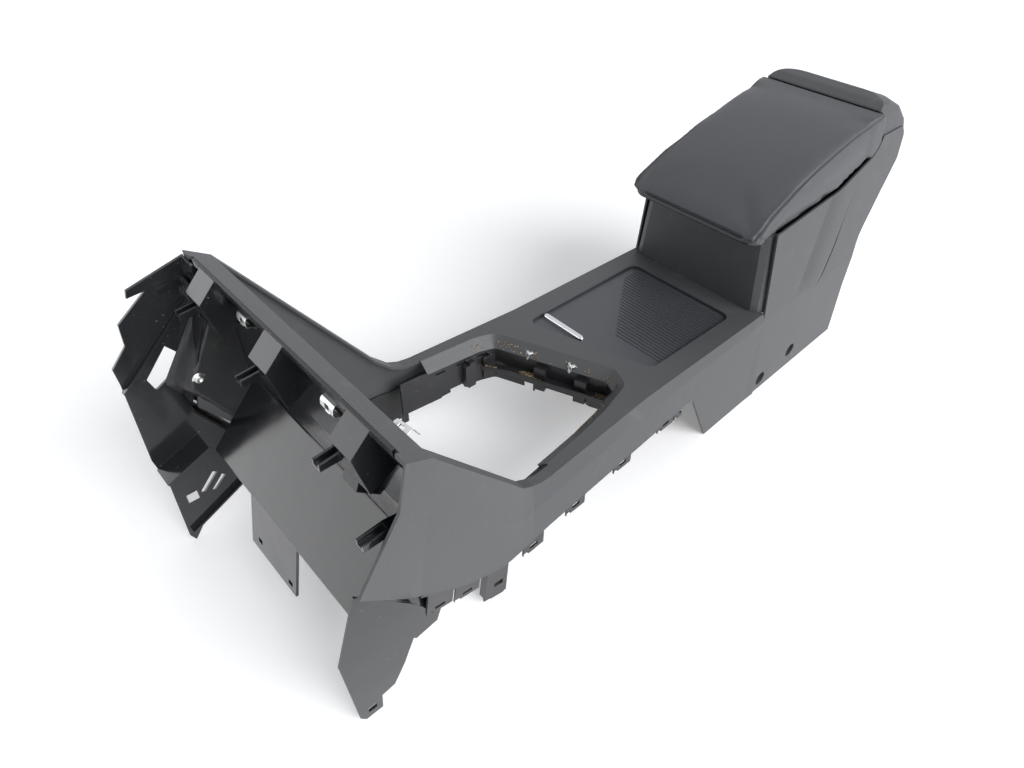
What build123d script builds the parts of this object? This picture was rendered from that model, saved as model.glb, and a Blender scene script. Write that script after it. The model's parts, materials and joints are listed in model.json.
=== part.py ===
"""Car centre console: floor console with a sliding tray cover, an armrest tower and an open front frame.

The console stands on the floor with +X towards the dashboard, +Y to the car's left and +Z up.
The origin is the middle of its footprint, at floor level. All lengths are millimetres.
A run is a distance forward from the face where the armrest tower meets the deck.
"""

from build123d import *
from math import acos, atan2, cos, hypot, radians, sin, sqrt, tan
import os

os.makedirs("parts", exist_ok=True)

# Layout along the console
tower_x = -206.0
deck_half = 114.5
deck_top = 158.5
deck_run = 450.0
deck_end_run = deck_run - 38.0
shoulder_run = deck_run - 200.0
arm_run = 152.0
arm_rise = 203.5
strip_run = 20.0
strip_rise = 11.3
bend_radius = 60.0
arm_top_run = deck_run + arm_run
trim_front_run = arm_top_run + 70.0
front_shift = arm_top_run - 602.0
front_share = (deck_top + arm_rise) / 362.0
spread = deck_half - 114.5
reach_y = 2.3 * deck_half

# Upper trim moulding
wall = 3.0
band = 13.0
band_skin = 4.5
strip_return = 14.0
crease_dip_run = deck_run + 23.0
crease_high = 147.0
crease_low = 128.0
crease_slope = 1.15
lip_drop = 14.0

# Half widths of the trim's side wall, as run, upper edge, crease and foot at floor level
trim_stations = [
    (-30.0, deck_half, deck_half + 4.0, deck_half + 7.5),
    (0.0, deck_half, deck_half + 4.0, deck_half + 7.5),
    (shoulder_run, deck_half + 4.0, deck_half + 13.5, deck_half + 16.5),
    (deck_run, deck_half + 18.0, deck_half + 22.5, deck_half + 22.5),
    (arm_top_run, deck_half + 66.5, deck_half + 50.5, deck_half + 2.0),
    (trim_front_run, deck_half + 75.5, deck_half + 66.5, deck_half + 4.5),
]

# Tray recess and its sliding cover
recess_back_run = 38.0
recess_front_run = 256.0
recess_half = deck_half - 27.5
recess_slant = 56.0
recess_radius = 12.0
cover_drop = 4.5
cover_thick = 3.5
cover_margin = 6.0
cover_tuck = 14.0
rib_pitch = 5.6
rib_width = 2.6
rib_height = 0.9
rib_first_run = 46.0
rib_last_run = 190.0
handle_run = 226.0
handle_length = 72.0
handle_y = -46.0
handle_width = 8.0
handle_height = 7.0
rail_clear = 0.4
rail_wall = 2.5
rail_back_run = -160.0
rail_front_run = recess_front_run - 31.0

# Cup tray below the cover
tray_depth = 78.0
tray_wall = 2.5
cup_radius = 36.0
cup_back_run = 84.0
cup_spacing = 82.0
tray_half = deck_half - 22.5

# Armrest tower
tower_back = 271.0
tower_waist = 261.0
tower_bulge = 318.0
tower_top = 383.0
bulge_drop = 95.0
seam_lean = 24.5
seam_gap = 0.4
seat_gap = 0.3
cap_lap = 12.0
cap_radius = 14.0
cap_inner_run = -236.0
screw_bore = 3.2
screw_cup = 11.0
screw_cup_depth = 12.0
screw_places = [(-41.0, 20.0), (-121.0, 31.0)]

# Swoosh sunk in the tower's sides: its outline, its tilt and its greatest depth
swoosh_edge = [
    (-204.0, 305.0), (-181.0, 240.0), (-172.0, 195.0), (-157.0, 156.0), (-136.0, 133.0), (-93.0, 129.0),
    (-40.0, 139.0), (-57.0, 150.0), (-88.0, 162.0), (-106.0, 176.0), (-114.0, 202.0), (-128.0, 244.0),
    (-137.0, 280.0), (-138.0, 309.0),
]
swoosh_tilt = 5.5
swoosh_depth = 5.0

# Storage bin
bin_front_run = -8.3
bin_back_run = -214.0
bin_half = deck_half - 28.5
bin_wall = 2.5
bin_top = tower_top - 112.0

# Armrest lid and its hinge
hinge_run = -203.5
hinge_z = tower_top - 38.0
lid_heel = 34.0
lid_gap = 2.0
lid_nose_run = 52.0
nose_radius = 24.0
pad_side = 6.0
pad_top = 16.0
pan_wall = 2.5
pin_radius = 3.0
pin_clear = 0.05
bracket_y = 60.0
bracket_thick = 5.0
bracket_boss = 8.0
slot_clear = 2.0
lug_y = 50.0
lug_thick = 6.0

# Selector frame's lugs as run past the recess, Y and turn, and the clip rails' hook
frame_low = 92.0
frame_lugs = [
    (64.0, -92.5, -20.0), (31.4, -24.4, -67.0), (9.4, 27.6, -67.0), (96.0, -94.5, 0.0), (9.0, 75.7, 15.0),
]
lug_long = 16.0
lug_deep = 10.0
rail_gap = 0.3
hook_long = 30.0
hook_deep = 9.0

# Front hood rail, sloped panel and brackets
rail_skin = 3.0
hood_width = 31.0
hood_places = [122.0, -7.0, -134.0]
hood_skin = 2.2
hood_clear = 0.6
panel_skin = 3.0
panel_top = (610.0, 231.0)
panel_low = (671.0, 157.0)
flange_low = (686.0, 88.0)
guide_length = 28.0
guide_width = 11.0
guide_height = 9.0
flange_half = 47.0
flange_y = -15.0
guide_corner_y = 151.5 + spread
lug_screw_y = 90.0
rim_run = 626.5
shell_skin = 3.0
fold_skin = 2.5
return_deep = 22.0
return_foot_deep = 37.0
fold_deep = 6.0
ledge_deep = 30.0
bracket_left_y = 146.0 + spread
web_y = 118.0 + spread


def at(run):
    """X of a point that lies a given run forward of the tower's face."""
    return tower_x + run


def placed(points):
    """Points given as run and height, moved to the model's X and Z."""
    return [(at(run), z) for run, z in points]


def fore(points):
    """Points of the open front, which keep with the arms' top; heights share in its rise from the floor."""
    return [(at(run + front_shift), z * front_share) for run, z in points]


def sunk(points):
    """Points given as run and depth below the tower's top, moved to the model's X and Z."""
    return placed([(run, tower_top - drop) for run, drop in points])


def side_plane(y):
    """Plane at a given Y on which a sketch's axes are X and Z."""
    return Plane.XZ.offset(-y)


def station(run, column):
    """Value of one column of the trim stations at a run, read between its neighbours."""
    for low, high in zip(trim_stations, trim_stations[1:]):
        if run <= high[0]:
            break
    share = (run - low[0]) / (high[0] - low[0])
    return low[column] + share * (high[column] - low[column])


def ramp(run, start, slope):
    """Height of a line that leaves the level at a start run through a bend of the bend radius."""
    angle = atan2(slope, 1.0)
    begin = start - bend_radius * tan(angle / 2)
    if run <= begin:
        return 0.0
    if run < begin + bend_radius * sin(angle):
        return bend_radius - sqrt(bend_radius**2 - (run - begin) ** 2)
    return (run - start) * slope


def trim_top_z(run):
    """Height of the trim's upper edge, which eases off along the cross strip."""
    beyond = max(run - deck_run - arm_run, 0.0)
    arm = ramp(run - beyond, deck_run, arm_rise / arm_run)
    return deck_top + arm + beyond * strip_rise / strip_run


def crease_z(run):
    """Height of the crease that runs along the trim's side."""
    dip = min(max((run - shoulder_run) / (crease_dip_run - shoulder_run), 0.0), 1.0)
    return crease_high - dip * (crease_high - crease_low) + ramp(run, crease_dip_run, crease_slope)


def inner_half(run, z):
    """Half of the clear width between the trim's side walls at a run and a height."""
    top, crease, foot = (station(run, column) - wall for column in (1, 2, 3))
    fold = crease_z(run)
    if z < fold:
        return foot + (crease - foot) * z / fold
    return crease + (top - crease) * (z - fold) / (trim_top_z(run) - fold)


def wall_runs():
    """Runs of the sections from which the side walls are lofted, closer together round the bend."""
    bend = [deck_run + step for step in (-30.0, -15.0, 0.0, 18.0, 40.0)]
    arm = [deck_run + arm_run * share for share in (0.5, 0.75, 1.0)]
    return [-30.0, 0.0, shoulder_run / 2, shoulder_run, deck_run - 100.0] + bend + arm + [trim_front_run]


def angle_wall(side):
    """Side wall of the trim: a top band, a bevel to the crease and a wall carried down to the floor."""
    with BuildPart() as shell:
        for run in wall_runs():
            top, crease, foot = (station(run, column) for column in (1, 2, 3))
            high, fold = trim_top_z(run), crease_z(run)
            section = [
                (top - band, high),
                (top, high),
                (crease, fold),
                (foot, 0.0),
                (foot - wall, 0.0),
                (crease - wall, fold),
                (top - wall, high - band_skin),
                (top - band, high - band_skin),
            ]
            with BuildSketch(Plane.YZ.offset(at(run))):
                with BuildLine():
                    Polyline(*[(side * y, z) for y, z in section], close=True)
                make_face()
        loft(ruled=True)
    return shell.part


def lining(side, clear, thick, first, last, low, high):
    """Thin strip that follows the inside of a side wall between two runs and two heights."""
    runs = [first] + [run for run in wall_runs() if first < run < last] + [last]
    with BuildPart() as strip:
        for run in runs:
            outer = [(inner_half(run, z) - clear, z) for z in (low, high)]
            section = outer + [(y - thick, z) for y, z in reversed(outer)]
            with BuildSketch(Plane.YZ.offset(at(run))):
                with BuildLine():
                    Polyline(*[(side * y, z) for y, z in section], close=True)
                make_face()
        loft(ruled=True)
    return strip.part


def part_way(first, last, share):
    """Value a share of the way from a first to a last one."""
    return first + share * (last - first)


def backed(points, thick):
    """Closed outline of a plate: a line of points and its parallel, to the right of the line's way."""
    normals = []
    for (start, low), (end, high) in zip(points, points[1:]):
        length = hypot(end - start, high - low)
        normals.append(((high - low) / length, (start - end) / length))
    parallel = []
    for (run, z), (p, q), (r, t) in zip(points, normals[:1] + normals, normals + normals[-1:]):
        share = thick / (1 + p * r + q * t)
        parallel.append((run + (p + r) * share, z + (q + t) * share))
    return points + parallel[::-1]


def tower_line(run):
    """Half widths and heights up the tower's side at a run; it narrows upwards and backwards."""
    low, high = deck_top - 12.5, tower_top - 97.0
    front = [(9.0, 0.0), (4.5, low), (-9.5, high), (-17.0, tower_top)]
    back = [(-4.0, 0.0), (-4.0, low), (-11.5, high), (-18.5, tower_top)]
    share = (run + 330.0) / 410.0
    return [(deck_half + b[0] + share * (f[0] - b[0]), f[1]) for f, b in zip(front, back)]


def tower_side_y(run, z):
    """Half width of the tower at a run and a height."""
    line = tower_line(run)
    for low, high in zip(line, line[1:]):
        if z <= high[1]:
            break
    return low[0] + (high[0] - low[0]) * (z - low[1]) / (high[1] - low[1])


def envelope(inset):
    """Solid between the tower's outer sides, each set in by a clearance."""
    with BuildPart() as body:
        for run in (-330.0, 80.0):
            left = [(y - inset, z) for y, z in tower_line(run)]
            right = [(-y, z) for y, z in reversed(left)]
            with BuildSketch(Plane.YZ.offset(at(run))):
                with BuildLine():
                    Polyline(*left, *right, close=True)
                make_face()
        loft(ruled=True)
    return body.part


def heel_point(angle):
    """Point of the lid's heel arc at an angle about the hinge, as run and height."""
    return hinge_run + lid_heel * cos(angle), hinge_z + lid_heel * sin(angle)


def lid_side(grow=0.0, lower=0.0):
    """Side outline of the armrest lid: a round heel about the hinge and a wedge that falls to the nose."""
    sole = (-147.0, tower_top - 91.5)
    reach = hypot(sole[0] - hinge_run, sole[1] - hinge_z)
    tangent = atan2(sole[1] - hinge_z, sole[0] - hinge_run) - acos(lid_heel / reach)
    crest = radians(131.0)
    outline = [
        heel_point(crest),
        (-160.0, tower_top - 19.5),
        (-75.0, tower_top - 40.0),
        (-13.0, tower_top - 62.0),
        (30.0, tower_top - 81.0),
        (lid_nose_run, tower_top - 98.0),
        (lid_nose_run - 3.0, tower_top - 111.0),
        (0.0, tower_top - 103.0),
        sole,
        heel_point(tangent),
    ]
    back = heel_point((crest + tangent) / 2 + radians(180.0))
    with BuildSketch(Plane.XZ.move(Location((0, -lower, 0)))) as face:
        with BuildLine():
            FilletPolyline(*placed(outline), radius=[160, 160, 160, 60, 7, 5, 160, 90])
            ThreePointArc(*placed([outline[-1], back, outline[0]]))
        make_face()
        if grow:
            offset(amount=grow)
    return face.sketch


def lid_plan(inset):
    """Solid under the lid's plan outline, with its rounded front corners."""
    length = 320.0
    with BuildPart() as block:
        with BuildSketch(Plane.XY.offset(deck_top)):
            with Locations((at(lid_nose_run) - inset - length / 2, 0)):
                RectangleRounded(length, 2 * (110.0 - inset), nose_radius)
        extrude(amount=300.0)
    return block.part


def pan_core(inset):
    """Space of the lid's stiff pan inside the padding, set in by an inset; with one it is open above."""
    heel = lid_heel - pad_side - inset
    with BuildPart() as core:
        extrude(lid_side(-inset if inset else 0.0), amount=reach_y, both=True)
        extrude(lid_side(0.0, pad_top - inset), amount=reach_y, both=True, mode=Mode.INTERSECT)
        with BuildSketch(Plane.XZ):
            with Locations((at(hinge_run), hinge_z)):
                Rectangle(200.0, 300.0, align=(Align.MAX, Align.CENTER))
                Circle(heel, mode=Mode.SUBTRACT)
        extrude(amount=reach_y, both=True, mode=Mode.SUBTRACT)
        add(envelope(pad_side + inset), mode=Mode.INTERSECT)
        add(lid_plan(pad_side + inset), mode=Mode.INTERSECT)
    return core.part


def hinge_slots():
    """Cutter for the two slots that let the fixed brackets pass the lid's heel as it swings."""
    reach = lid_heel + 14.0
    rim = [radians(angle) for angle in (140.0, 180.0, 214.0, 246.0, 279.0)]
    rim = [(at(hinge_run) + reach * cos(angle), hinge_z + reach * sin(angle)) for angle in rim]
    with BuildPart() as cutter:
        for side in (1, -1):
            with BuildSketch(side_plane(side * bracket_y)):
                with BuildLine():
                    Polyline((at(hinge_run), hinge_z), *rim, close=True)
                make_face()
                with Locations((at(hinge_run), hinge_z)):
                    Circle(bracket_boss + slot_clear)
            extrude(amount=bracket_thick / 2 + slot_clear, both=True)
    return cutter.part


def finish(piece, name):
    """Name a finished piece and write it to its own file."""
    piece.label = name
    export_step(piece, f"parts/{name}.step")


# Lip that rolls down into the selector opening
mouth_half = deck_half - 3.5
mouth_end = (deck_run + 30.0, deck_half + 11.5)
mouth_outline = placed([
    (mouth_end[0], -mouth_end[1]),
    (recess_front_run + 74.0, -mouth_half),
    (recess_front_run + 44.0, 11.0 - mouth_half),
    (recess_front_run - 22.0, 56.0),
    (recess_front_run - 10.0, mouth_half - 22.0),
    (recess_front_run + 42.0, mouth_half - 8.0),
    (recess_front_run + 89.0, mouth_half),
    mouth_end,
])
mouth_radii = [0, 60, 25, 16, 22, 40, 60, 0]
with BuildPart() as mouth_lip:
    with BuildSketch(Plane.XY.offset(deck_top)) as mouth:
        with BuildLine():
            FilletPolyline(*mouth_outline, radius=mouth_radii, close=True)
        make_face()
    extrude(amount=-lip_drop, taper=45)
    with BuildSketch(Plane.XY.offset(deck_top)):
        add(mouth.sketch)
        offset(amount=-wall * 1.4)
    extrude(amount=-lip_drop, taper=45, mode=Mode.SUBTRACT)
    with BuildSketch(Plane.XY.offset(deck_top)):
        with Locations((at(deck_end_run), 0)):
            Rectangle(400.0, 400.0, align=(Align.MAX, Align.CENTER))
    extrude(amount=-lip_drop, mode=Mode.INTERSECT)

# Upper trim: deck with its openings, side walls, arms and cross strip
with BuildPart() as upper_trim:
    left_edge = [(at(run), station(run, 1) - band / 2) for run in (-8.0, shoulder_run, deck_end_run)]
    right_edge = [(x, -y) for x, y in reversed(left_edge)]
    with BuildSketch(Plane.XY.offset(deck_top - wall)):
        with BuildLine():
            Polyline(*left_edge, *right_edge, close=True)
        make_face()
        with BuildLine():
            FilletPolyline(
                (at(recess_back_run), -recess_half),
                (at(recess_front_run), -recess_half),
                (at(recess_front_run - recess_slant), recess_half),
                (at(recess_back_run), recess_half),
                radius=recess_radius,
                close=True,
            )
        make_face(mode=Mode.SUBTRACT)
    extrude(amount=wall)
    with BuildSketch(Plane.XY.offset(deck_top - wall)):
        add(mouth.sketch)
        offset(amount=-wall)
    extrude(amount=wall, mode=Mode.SUBTRACT)
    add(mouth_lip.part)
    add(angle_wall(1))
    add(angle_wall(-1))
    lower_edge = placed([(97.0, -6.0), (155.0, 103.0), (deck_run - 30.0, 82.0), (deck_run + 50.0, 69.0)])
    lower_edge += fore([
        (552.0, 90.0),
        (612.0, 137.0),
        (671.0, 215.0),
        (630.0, 311.0),
        (rim_run, 374.0),
        (rim_run, 560.0),
        (760.0, 560.0),
        (760.0, -6.0),
    ])
    with BuildSketch(Plane.XZ):
        with BuildLine():
            FilletPolyline(*lower_edge, radius=[0, 22, 60, 60, 50, 30, 4, 20, 0, 0, 0, 0], close=True)
        make_face()
        with BuildLine():
            Polyline(
                *placed([(-60, -6), (-seam_lean - 1, -6), (-1, crease_high), (0, 200), (-60, 200)]),
                close=True,
            )
        make_face()
    extrude(amount=reach_y, both=True, mode=Mode.SUBTRACT)
    strip_back = (arm_top_run, deck_top + arm_rise)
    strip_front = (strip_back[0] + strip_run, strip_back[1] + strip_rise)
    strip_half = station(strip_back[0], 1) - band / 2
    with BuildSketch(Plane.XZ):
        with BuildLine():
            Polyline(
                *placed([
                    (strip_back[0], strip_back[1] - strip_return),
                    strip_back,
                    strip_front,
                    (strip_front[0], strip_front[1] - band_skin),
                    (strip_back[0] + wall, strip_back[1] - wall),
                    (strip_back[0] + wall, strip_back[1] - strip_return),
                ]),
                close=True,
            )
        make_face()
    extrude(amount=strip_half, both=True)
finish(upper_trim.part, "upper_trim")



def swoosh_block(grow):
    """Prism through the tower's left side under the swoosh's outline, grown by a margin."""
    with BuildPart() as block:
        with BuildSketch(Plane.XZ) as face:
            with BuildLine():
                FilletPolyline(
                    *placed(swoosh_edge),
                    radius=[0, 60, 60, 30, 30, 60, 4, 30, 30, 30, 60, 60, 60, 0],
                    close=True,
                )
            make_face()
            if grow:
                offset(amount=grow, kind=Kind.INTERSECTION)
        extrude(amount=-reach_y)
    return block.part


def swoosh_floor(inset):
    """Solid behind the swoosh: the tower's side tilted inwards about the swoosh's rear edge, to a depth."""
    low, high = (swoosh_edge[4], swoosh_edge[0])
    origin = (at(low[0]), tower_side_y(low[0], low[1]), low[1])
    way = Vector(high[0] - low[0], tower_side_y(*high) - origin[1], high[1] - low[1])
    tilted = envelope(inset).rotate(Axis(origin, way), swoosh_tilt)
    return tilted + envelope(swoosh_depth + inset)


# Tower side panels, each with a swoosh and two screw cups
back_edge = [
    (-tower_bulge, tower_top - 45.0),
    (-tower_bulge, tower_top - bulge_drop),
    (-tower_waist, 182.0),
    (-tower_waist, 95.0),
    (-tower_back, 0.0),
]
with BuildPart() as tower_panel_left:
    outline = [(run + cap_lap + seam_gap, z) for run, z in back_edge]
    outline += [
        (-seam_lean - seam_gap, 0.0),
        (-seam_gap - 1.0, crease_high),
        (-seam_gap - 0.8, deck_top + seam_gap),
        (3.0, tower_top - 104.0),
        (0.0, tower_top - 87.0),
        (-60.0, tower_top - 65.0),
        (-150.0, tower_top - 45.0),
    ]
    with BuildSketch(Plane.XZ):
        with BuildLine():
            FilletPolyline(*placed(outline), radius=[22, 30, 60, 60, 0, 0, 0, 0, 0, 0, 0, 0], close=True)
        make_face()
    extrude(amount=-reach_y)
    add(envelope(0.0), mode=Mode.INTERSECT)
    add(envelope(wall), mode=Mode.SUBTRACT)
    add(swoosh_block(wall) & envelope(wall - seat_gap) - swoosh_floor(wall))
    add(swoosh_block(0.0) - swoosh_floor(0.0), mode=Mode.SUBTRACT)
    extrude(lid_side(lid_gap), amount=-reach_y, mode=Mode.SUBTRACT)
    for run, z in screw_places:
        face_y = tower_side_y(run, z)
        with BuildSketch(side_plane(face_y - wall / 2)):
            with Locations((at(run), z)):
                Circle(screw_cup + wall)
        extrude(amount=screw_cup_depth + wall / 2)
    for run, z in screw_places:
        face_y = tower_side_y(run, z)
        with BuildSketch(side_plane(face_y + wall)):
            with Locations((at(run), z)):
                Circle(screw_cup)
        extrude(amount=screw_cup_depth + wall, mode=Mode.SUBTRACT)
        with BuildSketch(side_plane(face_y)):
            with Locations((at(run), z)):
                Circle(screw_bore)
        extrude(amount=screw_cup_depth + wall, mode=Mode.SUBTRACT)
finish(tower_panel_left.part, "tower_panel_left")
with BuildPart() as tower_panel_right:
    mirror(tower_panel_left.part, about=Plane.XZ)
finish(tower_panel_right.part, "tower_panel_right")


def cap_block(inset):
    """Solid of the tower's back with round corners, lofted up through rounded sections."""
    profile = [
        (0.0, tower_back, 0.0),
        (95.0, tower_waist, 0.0),
        (182.0, tower_waist, 0.0),
        (tower_top - 163.0, tower_waist + 17.0, 0.0),
        (tower_top - 128.0, tower_bulge - 17.0, 0.0),
        (tower_top - bulge_drop, tower_bulge, 0.0),
        (tower_top - 65.0, tower_bulge, 0.5),
        (tower_top - 38.0, tower_bulge - 10.0, 2.0),
        (tower_top - 18.0, tower_bulge - 27.0, 5.0),
        (tower_top - 6.0, tower_bulge - 46.0, 11.0),
        (tower_top, tower_bulge - 62.0, 20.0),
    ]
    with BuildPart() as block:
        for z, back, taper in profile:
            half = tower_side_y(-back, z) - taper - inset
            x = at(-back) + inset
            with BuildSketch(Plane.XY.offset(z if z == 0.0 else z - inset)):
                with BuildLine():
                    FilletPolyline(
                        (at(cap_inner_run) + 60.0, -half),
                        (x, -half),
                        (x, half),
                        (at(cap_inner_run) + 60.0, half),
                        radius=[0, cap_radius - inset + taper, cap_radius - inset + taper, 0],
                        close=True,
                    )
                make_face()
        loft(ruled=True)
    return block.part


# Rear cap, which closes the tower's back and wraps over its top behind the lid
brow = [(-228.0, 10.0), (-240.0, 3.5), (-256.0, -0.5)]
with BuildPart() as brow_back:
    with BuildSketch(Plane.XZ):
        with BuildLine():
            Polyline(
                *sunk([(run, drop + wall) for run, drop in brow]),
                *sunk([(-262.0, 4.0), (-262.0, -20.0), (hinge_run, -20.0), (hinge_run, 30.0)]),
                close=True,
            )
        make_face()
    extrude(amount=reach_y, both=True)
with BuildPart() as rear_cap:
    add(cap_block(0.0))
    add(cap_block(wall) - brow_back.part, mode=Mode.SUBTRACT)
    inside = [(run + cap_lap, z) for run, z in back_edge[1:]]
    ledge_z = back_edge[0][1] + 0.5
    inside = [(hinge_run + 60.0, ledge_z), (back_edge[0][0] + cap_lap, ledge_z)] + inside + [(-100.0, 0.0)]
    with BuildSketch(Plane.XZ):
        with BuildLine():
            FilletPolyline(*placed(inside), radius=[0, 22, 30, 60, 60, 0, 0], close=True)
        make_face()
    extrude(amount=reach_y, both=True, mode=Mode.SUBTRACT)
    extrude(lid_side(lid_gap), amount=reach_y, both=True, mode=Mode.SUBTRACT)
    above = [(hinge_run, 38.0)] + brow + [(-256.0, -20.0), (hinge_run, -20.0)]
    with BuildSketch(Plane.XZ):
        with BuildLine():
            FilletPolyline(*sunk(above), radius=[0, 0, 20, 0, 0, 0], close=True)
        make_face()
        with Locations((at(hinge_run), tower_top)):
            Rectangle(200.0, 2 * (tower_top - hinge_z), align=(Align.MIN, Align.CENTER))
    extrude(amount=reach_y, both=True, mode=Mode.SUBTRACT)
finish(rear_cap.part, "rear_cap")

# Front wall of the tower, bowed forward between the side panels
front_wall_top = tower_top - 108.0
with BuildPart() as tower_front_wall:
    for z in (deck_top, front_wall_top):
        half = tower_side_y(0.0, z) - wall - seam_gap
        with BuildSketch(Plane.XY.offset(z)):
            with BuildLine():
                Polyline(
                    *[(at(run), y) for run, y in (
                        (-6.0, half), (4.0, half - 6.0), (9.0, half - 15.0),
                        (9.0, 15.0 - half), (4.0, 6.0 - half), (-6.0, -half),
                        (-8.0, 3.0 - half), (1.5, 9.0 - half), (6.0, 17.0 - half),
                        (6.0, half - 17.0), (1.5, half - 9.0), (-8.0, half - 3.0),
                    )],
                    close=True,
                )
            make_face()
    loft(ruled=True)
finish(tower_front_wall.part, "tower_front_wall")

# Storage bin under the lid
with BuildPart() as storage_bin:
    bin_length = bin_front_run - bin_back_run
    bin_floor = deck_top - wall
    with BuildSketch(Plane.XY.offset(bin_floor)):
        with Locations((at(bin_back_run) + bin_length / 2, 0)):
            RectangleRounded(bin_length, 2 * bin_half, 14.0)
    extrude(amount=bin_top - bin_floor)
    with BuildPart(mode=Mode.PRIVATE) as bin_rim:
        with BuildSketch(Plane.XY.offset(bin_top - bin_wall)):
            with Locations((at(bin_back_run) + bin_length / 2, 0)):
                Rectangle(bin_length - 30.0, 2 * reach_y)
        extrude(amount=bin_wall)
        add(envelope(wall + seat_gap), mode=Mode.INTERSECT)
        swoosh_room = swoosh_block(wall + seat_gap) - swoosh_floor(wall + seat_gap)
        add(swoosh_room, mode=Mode.SUBTRACT)
        mirror(swoosh_room, about=Plane.XZ, mode=Mode.SUBTRACT)
    add(bin_rim.part)
    with BuildSketch(Plane.XY.offset(bin_floor + bin_wall)):
        with Locations((at(bin_back_run) + bin_length / 2, 0)):
            RectangleRounded(bin_length - 2 * bin_wall, 2 * (bin_half - bin_wall), 14.0 - bin_wall)
    extrude(amount=bin_top, mode=Mode.SUBTRACT)
finish(storage_bin.part, "storage_bin")

# Hinge brackets, pin, stiff pan and padding of the lid
for side, name in ((1, "hinge_bracket_left"), (-1, "hinge_bracket_right")):
    with BuildPart() as hinge_bracket:
        with BuildSketch(side_plane(side * bracket_y)):
            with BuildLine():
                Polyline(
                    *placed([
                        (bin_back_run, hinge_z - 120.0),
                        (bin_back_run, hinge_z - 60.0),
                        (hinge_run + 0.5, hinge_z - 45.0),
                        (hinge_run + 5.0, hinge_z - 2.0),
                        (hinge_run - 5.0, hinge_z - 2.0),
                        (hinge_run - 9.0, hinge_z - 40.0),
                        (bin_back_run - 12.0, hinge_z - 58.0),
                        (bin_back_run - 12.0, hinge_z - 120.0),
                    ]),
                    close=True,
                )
            make_face()
            with Locations((at(hinge_run), hinge_z)):
                Circle(bracket_boss)
                Circle(pin_radius + pin_clear, mode=Mode.SUBTRACT)
        extrude(amount=bracket_thick / 2, both=True)
    finish(hinge_bracket.part, name)

with BuildPart() as hinge_pin:
    with BuildSketch(Plane.XZ):
        with Locations((at(hinge_run), hinge_z)):
            Circle(pin_radius)
    extrude(amount=bracket_y + bracket_thick / 2 + 2.0, both=True)
    chamfer(hinge_pin.edges().filter_by(GeomType.CIRCLE), 0.8)
finish(hinge_pin.part, "hinge_pin")

with BuildPart() as lid_pan:
    add(pan_core(0.0))
    add(pan_core(pan_wall), mode=Mode.SUBTRACT)
    add(hinge_slots(), mode=Mode.SUBTRACT)
    for side in (1, -1):
        with BuildSketch(side_plane(side * lug_y)):
            with BuildLine():
                Polyline(
                    *placed([
                        (hinge_run - 7.0, hinge_z),
                        (hinge_run + 7.0, hinge_z),
                        (hinge_run + 26.0, hinge_z - 43.5),
                        (hinge_run + 2.0, hinge_z - 34.0),
                    ]),
                    close=True,
                )
            make_face()
            with Locations((at(hinge_run), hinge_z)):
                Circle(bracket_boss)
        extrude(amount=lug_thick / 2, both=True)
    with BuildSketch(Plane.XZ):
        with Locations((at(hinge_run), hinge_z)):
            Circle(pin_radius + pin_clear)
    extrude(amount=reach_y, both=True, mode=Mode.SUBTRACT)
finish(lid_pan.part, "lid_pan")

with BuildPart() as armrest_pad:
    extrude(lid_side(), amount=reach_y, both=True)
    add(envelope(0.0), mode=Mode.INTERSECT)
    add(lid_plan(0.0), mode=Mode.INTERSECT)
    add(pan_core(0.0), mode=Mode.SUBTRACT)
    add(lid_pan.part, mode=Mode.SUBTRACT)
    add(hinge_slots(), mode=Mode.SUBTRACT)
finish(armrest_pad.part, "armrest_pad")

# Sliding cover of the tray with its ribs, and the handle on it
cover_top = deck_top - cover_drop
with BuildPart() as tray_cover:
    cover_half = recess_half + cover_margin
    front = recess_front_run + cover_margin
    with BuildSketch(Plane.XY.offset(cover_top - cover_thick)):
        with BuildLine():
            FilletPolyline(
                (at(recess_back_run - cover_tuck), -cover_half),
                (at(front), -cover_half),
                (at(front - recess_slant), cover_half),
                (at(recess_back_run - cover_tuck), cover_half),
                radius=[2.0, recess_radius, recess_radius, 2.0],
                close=True,
            )
        make_face()
    extrude(amount=cover_thick)
    rib_count = int((rib_last_run - rib_first_run) / rib_pitch)
    with BuildSketch(Plane.XY.offset(cover_top)):
        for number in range(rib_count):
            run = rib_first_run + number * rib_pitch
            far_end = -recess_half + 12.0 + max(0.0, (run - 70.0) * 0.75)
            near_end = recess_half - 5.0
            with Locations((at(run), (far_end + near_end) / 2)):
                Rectangle(rib_width, near_end - far_end)
    extrude(amount=rib_height)
finish(tray_cover.part, "tray_cover")

with BuildPart() as cover_handle:
    with BuildSketch(Plane.XY.offset(cover_top)):
        with Locations((at(handle_run), handle_y)):
            SlotOverall(handle_length, handle_width, rotation=90)
    extrude(amount=handle_height)
    top_edges = cover_handle.faces().sort_by(Axis.Z)[-1].edges()
    fillet(top_edges, handle_width * 0.3)
finish(cover_handle.part, "cover_handle")

# Guide rails of the cover, hung under the deck and the bin
for side, name in ((1, "cover_rail_left"), (-1, "cover_rail_right")):
    with BuildPart() as cover_rail:
        inner = recess_half + cover_margin + rail_clear
        low = cover_top - cover_thick - rail_clear
        high = deck_top - wall
        section = [
            (inner, high), (inner + rail_wall, high), (inner + rail_wall, low - rail_wall),
            (recess_half - 2.0, low - rail_wall), (recess_half - 2.0, low), (inner, low),
        ]
        with BuildSketch(Plane.YZ.offset(at(rail_back_run))):
            with BuildLine():
                Polyline(*[(side * y, z) for y, z in section], close=True)
            make_face()
        extrude(amount=rail_front_run - rail_back_run)
    finish(cover_rail.part, name)

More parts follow.
